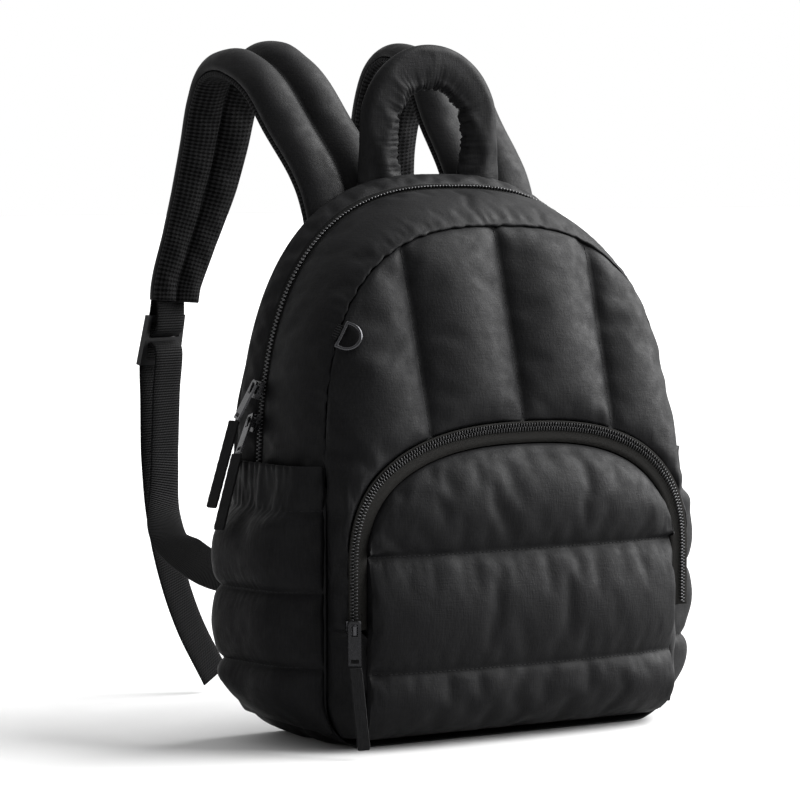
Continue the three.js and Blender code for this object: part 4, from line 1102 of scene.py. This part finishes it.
for name in ("main_tab_upper", "main_tab_lower", "pocket_tab"):
    folded_tab(name, round_end=2.5)
for name in ("anchor_tab_left", "anchor_tab_right", "d_ring_tab"):
    folded_tab(name, round_end=0.8)
ring_wire("d_ring")


# Many small copies of one shape, joined in one mesh: zip teeth and stitches
def capsule(length, width, height, sides=8):
    ring = [(math.cos(a), math.sin(a)) for a in np.linspace(0, 2 * math.pi, sides, endpoint=False)]
    points, faces = [], []
    for x, r in ((-0.5, 0.55), (-0.36, 1), (0.36, 1), (0.5, 0.55)):
        points += [[x * length, c * r * width / 2, s * r * height / 2] for c, s in ring]
    for k in range(3):
        for j in range(sides):
            n = (j + 1) % sides
            faces.append([k * sides + j, k * sides + n, (k + 1) * sides + n, (k + 1) * sides + j])
    faces.append(list(range(sides))[::-1])
    faces.append(list(range(3 * sides, 4 * sides)))
    points = np.array(points)
    return points, facing_out(points, faces)


def scattered(name, shape, places, x_axes, y_axes, z_axes):
    points, faces = shape
    count = len(points)
    every = (places[:, None] + points[None, :, 0:1] * x_axes[:, None]
             + points[None, :, 1:2] * y_axes[:, None] + points[None, :, 2:3] * z_axes[:, None])
    all_faces = [[k * count + v for v in f] for k in range(len(places)) for f in faces]
    obj = new_mesh(name, every.reshape(-1, 3), all_faces)
    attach(obj, "root")
    return obj


def along_line(line, out, pitch, start=0.5):
    """Evenly spaced places on a dense line, with the directions along, across and out."""
    length = np.r_[0, np.cumsum(np.linalg.norm(np.diff(line, axis=0), axis=1))]
    count = int((length[-1] - pitch * start) / pitch)
    at = np.interp(pitch * start + pitch * np.arange(count), length, np.arange(len(line)))
    place = pick(line, at)
    ahead = unit(pick(line, np.minimum(at + 0.5, len(line) - 1)) - pick(line, np.maximum(at - 0.5, 0)))
    up = pick(out, at)
    up = unit(up - ahead * (up * ahead).sum(1, keepdims=True))
    return place, ahead, np.cross(up, ahead), up


def zip_chain(name, line, out, pitch, reach, rise):
    """Two rows of teeth that mesh at the middle of the chain."""
    place, ahead, across, up = along_line(line, out, pitch / 2)
    side = np.where(np.arange(len(place)) % 2 == 0, 1.0, -1.0)[:, None]
    place = place + across * side * (reach * 0.42) + up * rise
    return scattered(name, capsule(reach, pitch * 0.46, 1.5), place, across, ahead, up)


def tape(name, edges, out, thickness=1.2):
    """A closed strip through matching lines across the zip."""
    outer = np.stack(edges, 1)
    obj = shell(name, outer, outer - out[:, None] * thickness, fine=False)
    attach(obj, "root")
    return obj


def main_zip_lines():
    q = q_over_arch(520, MAIN_ZIP_LEVEL)
    z = outline(0.5, q)[1]
    gap = level_gap(z)
    lines = [skin(MAIN_ZIP_LEVEL + s * MAIN_ZIP_HALF * gap, q) for s in (-1, -0.5, 0, 0.5, 1)]
    out = -inward(lines[2])
    heights = (0.1, -0.7, -0.9, -0.7, 0.1)
    return [settled(l + out * h) for l, h in zip(lines, heights)], out


def pocket_zip_lines():
    def stations(inset):
        width = POCKET_HALF_WIDTH - inset
        up = np.linspace(POCKET_ZIP_END, POCKET_SPRING, 14)[:-1]
        a = np.linspace(math.pi / 2, 0, 90)
        share = np.sin(a) ** (2 / POCKET_POWER)
        x = share * width
        left = np.concatenate([pocket_point(width + 0 * up, up), pocket_point(x, pocket_top(inset, x))])
        return np.concatenate([left * [-1, 1, 1], left[:-1][::-1]])
    insets = [-ZIP_OUTSIDE, -1.6, 0, 1.6, 3.2, 6.4, ZIP_INSIDE - 0.4]
    heights = [0.2, -0.5, -0.7, -0.5, -0.3, -0.3, 0.1]
    middle = stations(0)
    out = -inward(middle)
    return [settled(stations(i) + out * h) for i, h in zip(insets, heights)], out


lines, out = main_zip_lines()
made["main_zip"] = tape("main_zip_tape", lines, out)
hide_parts("main_zip")
made["main_teeth"] = zip_chain("main_zip_teeth", lines[2], out, 2.4, 3.2, 0.8)
lines, out = pocket_zip_lines()
made["pocket_zip"] = tape("pocket_zip_tape", lines, out)
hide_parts("pocket_zip")
made["pocket_teeth"] = zip_chain("pocket_zip_teeth", lines[2], out, 2.05, 2.9, 0.8)


# Stitches
STITCH_PITCH, STITCH_LENGTH, THREAD_WIDTH, STITCH_RISE = 3.3, 2.4, 0.55, 0.15
stitch_objects = []


def stitches(name, line, out):
    place, ahead, across, up = along_line(line, out, STITCH_PITCH)
    shape = capsule(STITCH_LENGTH, THREAD_WIDTH, THREAD_WIDTH, 6)
    stitch_objects.append(scattered(name, shape, place + up * STITCH_RISE, ahead, across, up))


def stitch_rows(name, rows=(), cols=()):
    grid, normal = simulated[name], outside(name)
    for k in rows:
        stitches(f"{name}_stitches_row{k}", grid[k], normal[k])
    for k in cols:
        stitches(f"{name}_stitches_col{k}", grid[:, k], normal[:, k])


stitch_rows("front_panel", rows=QUILT_RIBS)
stitch_rows("pocket_panel", rows=[LOWER_SEAM_ROW, UPPER_SEAM_ROW])
for label in ("left", "right"):
    stitch, seams = side_made[label]
    stitch_rows(f"side_pocket_{label}", rows=[stitch, *seams])
    stitch_rows(f"strap_{label}", cols=[STRAP_SEAM])
    stitch_rows(f"strap_mesh_{label}", cols=[STRAP_SEAM])


# Materials
def material(name, color, roughness, metallic=0.0, spec=0.5):
    mat = bpy.data.materials.new(name)
    mat.use_nodes = True
    tree = mat.node_tree
    shader = tree.nodes["Principled BSDF"]
    shader.inputs["Base Color"].default_value = (*color, 1)
    shader.inputs["Roughness"].default_value = roughness
    shader.inputs["Metallic"].default_value = metallic
    shader.inputs["Specular IOR Level"].default_value = spec
    return mat, tree, shader


def link(tree, a, b):
    tree.links.new(a, b)


def math_node(tree, operation, a, b=None):
    n = tree.nodes.new("ShaderNodeMath")
    n.operation = operation
    for k, v in ((0, a), (1, b)):
        if v is None:
            continue
        if isinstance(v, (int, float)):
            n.inputs[k].default_value = v
        else:
            link(tree, v, n.inputs[k])
    return n.outputs[0]


def place_of(tree):
    return tree.nodes.new("ShaderNodeTexCoord").outputs["Object"]


def noise_at(tree, scale, detail=3.0, rough=0.55, distortion=0.0, where=None):
    n = tree.nodes.new("ShaderNodeTexNoise")
    n.inputs["Scale"].default_value = scale
    n.inputs["Detail"].default_value = detail
    n.inputs["Roughness"].default_value = rough
    n.inputs["Distortion"].default_value = distortion
    link(tree, where or place_of(tree), n.inputs["Vector"])
    return n.outputs["Fac"]


def ramp(tree, value, stops):
    n = tree.nodes.new("ShaderNodeValToRGB")
    while len(n.color_ramp.elements) < len(stops):
        n.color_ramp.elements.new(0.5)
    for element, (at, color) in zip(n.color_ramp.elements, stops):
        element.position = at
        element.color = (*color, 1) if len(color) == 3 else color
    link(tree, value, n.inputs["Fac"])
    return n.outputs["Color"]


def bump(tree, shader, *layers):
    """Each layer is a height, a strength and a distance in metres."""
    normal = None
    for height, strength, distance in layers:
        n = tree.nodes.new("ShaderNodeBump")
        n.inputs["Strength"].default_value = strength
        n.inputs["Distance"].default_value = distance
        link(tree, height, n.inputs["Height"])
        if normal:
            link(tree, normal, n.inputs["Normal"])
        normal = n.outputs["Normal"]
    link(tree, normal, shader.inputs["Normal"])


def nylon(name):
    """Crinkled matte nylon: fine creases, a faint weave and slightly uneven colour."""
    mat, tree, shader = material(name, (0.0045, 0.0045, 0.0048), 0.6, spec=0.065)
    where = place_of(tree)
    crease = tree.nodes.new("ShaderNodeTexVoronoi")
    crease.feature = "DISTANCE_TO_EDGE"
    crease.inputs["Scale"].default_value = 330
    warp = noise_at(tree, 120, 3, 0.6, where=where)
    mix = tree.nodes.new("ShaderNodeMix")
    mix.data_type = "VECTOR"
    mix.inputs["Factor"].default_value = 0.012
    noise_color = tree.nodes.new("ShaderNodeTexNoise")
    noise_color.inputs["Scale"].default_value = 60
    noise_color.inputs["Detail"].default_value = 3
    link(tree, where, noise_color.inputs["Vector"])
    # Sockets 4 and 5 are the vectors to mix, and output 1 is the mixed vector
    link(tree, where, mix.inputs[4])
    link(tree, noise_color.outputs["Color"], mix.inputs[5])
    link(tree, mix.outputs[1], crease.inputs["Vector"])
    small = noise_at(tree, 520, 4, 0.62, 0.4, where=where)
    large = noise_at(tree, 75, 4, 0.6, 0.6, where=where)
    slubs = []
    for scale in ((900, 900, 130), (140, 140, 900)):
        stretch = tree.nodes.new("ShaderNodeMapping")
        stretch.inputs["Scale"].default_value = scale
        link(tree, where, stretch.inputs["Vector"])
        slubs.append(noise_at(tree, 1, 3, 0.6, where=stretch.outputs["Vector"]))
    bump(tree, shader, (large, 0.12, 0.0010), (crease.outputs["Distance"], 0.06, 0.0005),
         (small, 0.2, 0.0004), (slubs[0], 0.3, 0.0005), (slubs[1], 0.3, 0.0005))
    tint = ramp(tree, slubs[0], [(0.3, (0.003, 0.003, 0.0033)), (0.72, (0.0055, 0.0055, 0.0059))])
    link(tree, tint, shader.inputs["Base Color"])
    rough = ramp(tree, warp, [(0.3, (0.5, 0.5, 0.5)), (0.7, (0.66, 0.66, 0.66))])
    link(tree, rough, shader.inputs["Roughness"])
    return mat


def uv_of(tree):
    n = tree.nodes.new("ShaderNodeUVMap")
    n.uv_map = "UVMap"
    split = tree.nodes.new("ShaderNodeSeparateXYZ")
    link(tree, n.outputs["UV"], split.inputs["Vector"])
    return split.outputs["X"], split.outputs["Y"]


def wave(tree, value, period):
    return math_node(tree, "SINE", math_node(tree, "MULTIPLY", value, 2 * math.pi / period))


def ribbed(name):
    """Webbing: ribs across its length and a faint twill along it, with painted shade darkening the troughs
    between the ribs.
    """
    mat, tree, shader = material(name, (0.004, 0.004, 0.0043), 0.7, spec=0.05)
    u, v = uv_of(tree)
    ribs = wave(tree, v, 0.0017)
    twill = wave(tree, math_node(tree, "ADD", u, math_node(tree, "MULTIPLY", v, 0.5)), 0.0023)
    fuzz = noise_at(tree, 900, 3)
    bump(tree, shader, (ribs, 0.7, 0.0003), (twill, 0.25, 0.00015), (fuzz, 0.2, 0.0002))
    # Painted shade: the colour follows the ribs' height, darker in the troughs between the ribs and near the
    # base colour on their tops.
    tint = ramp(tree, math_node(tree, "ADD", math_node(tree, "MULTIPLY", ribs, 0.35), 0.5),
                [(0.1, (0.0010, 0.0010, 0.0011)), (0.9, (0.0046, 0.0046, 0.005))])
    link(tree, tint, shader.inputs["Base Color"])
    return mat


def air_mesh(name):
    """Spacer mesh: rows of small round holes, every second row moved by half, with painted shade in the holes
    and a painted highlight on the ridges between them.
    """
    mat, tree, shader = material(name, (0.006, 0.006, 0.0065), 0.8, spec=0.06)
    u, v = uv_of(tree)
    a = wave(tree, u, 0.0040)
    b = wave(tree, v, 0.0028)
    cells = math_node(tree, "MULTIPLY", math_node(tree, "ADD", a, math_node(tree, "MULTIPLY", b, 1.5)), 0.2)
    height = math_node(tree, "ADD", cells, 0.5)
    hole = ramp(tree, height, [(0.25, (0.0, 0.0, 0.0)), (0.45, (1, 1, 1))])
    fuzz = noise_at(tree, 1300, 3)
    bump(tree, shader, (hole, 0.9, 0.0011), (fuzz, 0.4, 0.0004))
    # Painted shade and highlight: the holes are coloured near black as shade inside them, and the ridges
    # between them lighter than the base colour as a painted highlight.
    tint = ramp(tree, height, [(0.3, (0.0003, 0.0003, 0.0003)), (0.48, (0.0042, 0.0042, 0.0045)),
                               (0.95, (0.0135, 0.0135, 0.014))])
    link(tree, tint, shader.inputs["Base Color"])
    return mat


def zip_tape(name, color):
    mat, tree, shader = material(name, color, 0.75, spec=0.06)
    u, v = uv_of(tree)
    weave = math_node(tree, "MULTIPLY", wave(tree, v, 0.0011), wave(tree, u, 0.0011))
    fuzz = noise_at(tree, 1500, 3)
    bump(tree, shader, (weave, 0.5, 0.0002), (fuzz, 0.3, 0.0002))
    tint = ramp(tree, fuzz, [(0.3, tuple(c * 0.7 for c in color)), (0.7, tuple(c * 1.3 for c in color))])
    link(tree, tint, shader.inputs["Base Color"])
    return mat


def metal(name, color, roughness):
    mat, tree, shader = material(name, color, roughness, metallic=1.0)
    wear = noise_at(tree, 700, 4, 0.6)
    rough = ramp(tree, wear, [(0.3, (roughness * 0.7,) * 3), (0.7, (roughness * 1.35,) * 3)])
    link(tree, rough, shader.inputs["Roughness"])
    bump(tree, shader, (wear, 0.12, 0.0002))
    return mat


def plastic(name):
    mat, tree, shader = material(name, (0.005, 0.005, 0.0056), 0.42, spec=0.2)
    grain = noise_at(tree, 2200, 3)
    bump(tree, shader, (grain, 0.25, 0.0002))
    rough = ramp(tree, noise_at(tree, 160, 3), [(0.3, (0.36,) * 3), (0.7, (0.5,) * 3)])
    link(tree, rough, shader.inputs["Roughness"])
    return mat


cloth_look = nylon("nylon_cloth")
thread_look, thread_tree, thread_shader = material("thread", (0.008, 0.008, 0.0085), 0.6, spec=0.1)
bump(thread_tree, thread_shader, (noise_at(thread_tree, 2600, 2), 0.4, 0.0002))
webbing_look = ribbed("webbing_cloth")
mesh_look = air_mesh("air_mesh_cloth")
main_tape_look = zip_tape("zip_tape_black", (0.004, 0.004, 0.004))
pocket_tape_look = zip_tape("zip_tape_grey", (0.008, 0.0077, 0.0071))
coil_look = metal("zip_teeth_metal", (0.038, 0.038, 0.039), 0.38)
main_coil_look = metal("main_coil_metal", (0.085, 0.085, 0.087), 0.38)
hardware_look = metal("gunmetal", (0.05, 0.05, 0.053), 0.27)
plastic_look = plastic("buckle_plastic_black")


def dress(obj, look, slot_name):
    obj.data.materials.clear()
    obj.data.materials.append(look)


webbing_worn = (webbing_look, "webbing")
WORN = {
    "strap_webbing": webbing_worn,
    "anchor_webbing": webbing_worn,
    "tail": webbing_worn,
    "webbing_back": webbing_worn,
    "d_ring_tab": webbing_worn,
    "strap_mesh": (mesh_look, "air_mesh"),
    "main_zip": (main_tape_look, "coil_zip"),
    "pocket_zip": (pocket_tape_look, "coil_zip"),
    "main_teeth": (main_coil_look, "zip_metal"),
    "pocket_teeth": (coil_look, "zip_metal"),
    "d_ring": (hardware_look, "zip_metal"),
}
for name, obj in made.items():
    base = name.replace("_left", "").replace("_right", "")
    dress(obj, *WORN.get(base, (cloth_look, "nylon_shell")))
for obj in stitch_objects:
    dress(obj, thread_look, "nylon_shell")

# The solids that stay: sliders, pulls, buckles and the cloth behind the pocket
for name, obj in nodes.items():
    is_metal, is_buckle = "slider" in name or "pull" in name, "ladder_lock" in name
    obj.data.materials.clear()
    obj.data.materials.append(hardware_look if is_metal else plastic_look if is_buckle else cloth_look)
    if is_metal or is_buckle:
        bevel = obj.modifiers.new("bevel", "BEVEL")
        bevel.width = 0.0005 if is_buckle else 0.0003
        bevel.segments = 2
        bevel.limit_method = "ANGLE"
        bevel.angle_limit = math.radians(35)

# Floor, light and camera
bpy.ops.mesh.primitive_plane_add(size=30, location=(0, 0, 0))
floor = bpy.context.active_object
floor.name = "floor"
floor_look, _, _ = material("floor_white", (0.52, 0.52, 0.52), 0.9, spec=0.1)
floor.data.materials.append(floor_look)

world = bpy.data.worlds.new("studio")
bpy.context.scene.world = world
world.use_nodes = True
# White behind the bag and above it, dimmer from the front left
air = world.node_tree
toward_light = air.nodes.new("ShaderNodeVectorMath")
toward_light.operation = "DOT_PRODUCT"
toward_light.inputs[1].default_value = (0.62, 0.62, 0.48)
air.links.new(air.nodes.new("ShaderNodeTexCoord").outputs["Generated"], toward_light.inputs[0])
dim = air.nodes.new("ShaderNodeMapRange")
dim.inputs["From Min"].default_value = -0.7
dim.inputs["From Max"].default_value = 0.5
dim.inputs["To Min"].default_value = 0.3
dim.inputs["To Max"].default_value = 1.0
air.links.new(toward_light.outputs["Value"], dim.inputs["Value"])
air.links.new(dim.outputs["Result"], air.nodes["Background"].inputs["Strength"])
air.nodes["Background"].inputs["Color"].default_value = (1, 1, 1, 1)

# The camera looks along (0.577, 0.816), so its right is (0.816, -0.577)
sun_data = bpy.data.lights.new("key", "SUN")
sun_data.energy = 12.5
sun_data.angle = math.radians(62)
sun = bpy.data.objects.new("key", sun_data)
bpy.context.scene.collection.objects.link(sun)
sun.rotation_mode = "QUATERNION"
sun.rotation_quaternion = Vector((0.81, -0.24, 0.55)).to_track_quat("Z", "Y")

CAMERA_TURN = math.radians(35.28)
CAMERA_AWAY, CAMERA_HEIGHT = 2.5652, 0.37391
FOCAL_PIXELS, TARGET_PIXEL, IMAGE = 4035.74, (460.84, 413.16), 800
target = Vector((0, 0, 0.2))
place = Vector((-CAMERA_AWAY * math.sin(CAMERA_TURN), -CAMERA_AWAY * math.cos(CAMERA_TURN), CAMERA_HEIGHT))
to_target = (target - place).normalized()
right = to_target.cross(Vector((0, 0, 1))).normalized()
up = right.cross(to_target)
aim = (to_target + right * ((IMAGE / 2 - TARGET_PIXEL[0]) / FOCAL_PIXELS)
       - up * ((IMAGE / 2 - TARGET_PIXEL[1]) / FOCAL_PIXELS))
camera_data = bpy.data.cameras.new("camera")
camera_data.sensor_width = 36
camera_data.lens = FOCAL_PIXELS / IMAGE * 36
camera = bpy.data.objects.new("camera", camera_data)
bpy.context.scene.collection.objects.link(camera)
camera.location = place
camera.rotation_mode = "QUATERNION"
camera.rotation_quaternion = aim.to_track_quat("-Z", "Y")
bpy.context.scene.camera = camera
bpy.context.scene.view_settings.view_transform = "Standard"
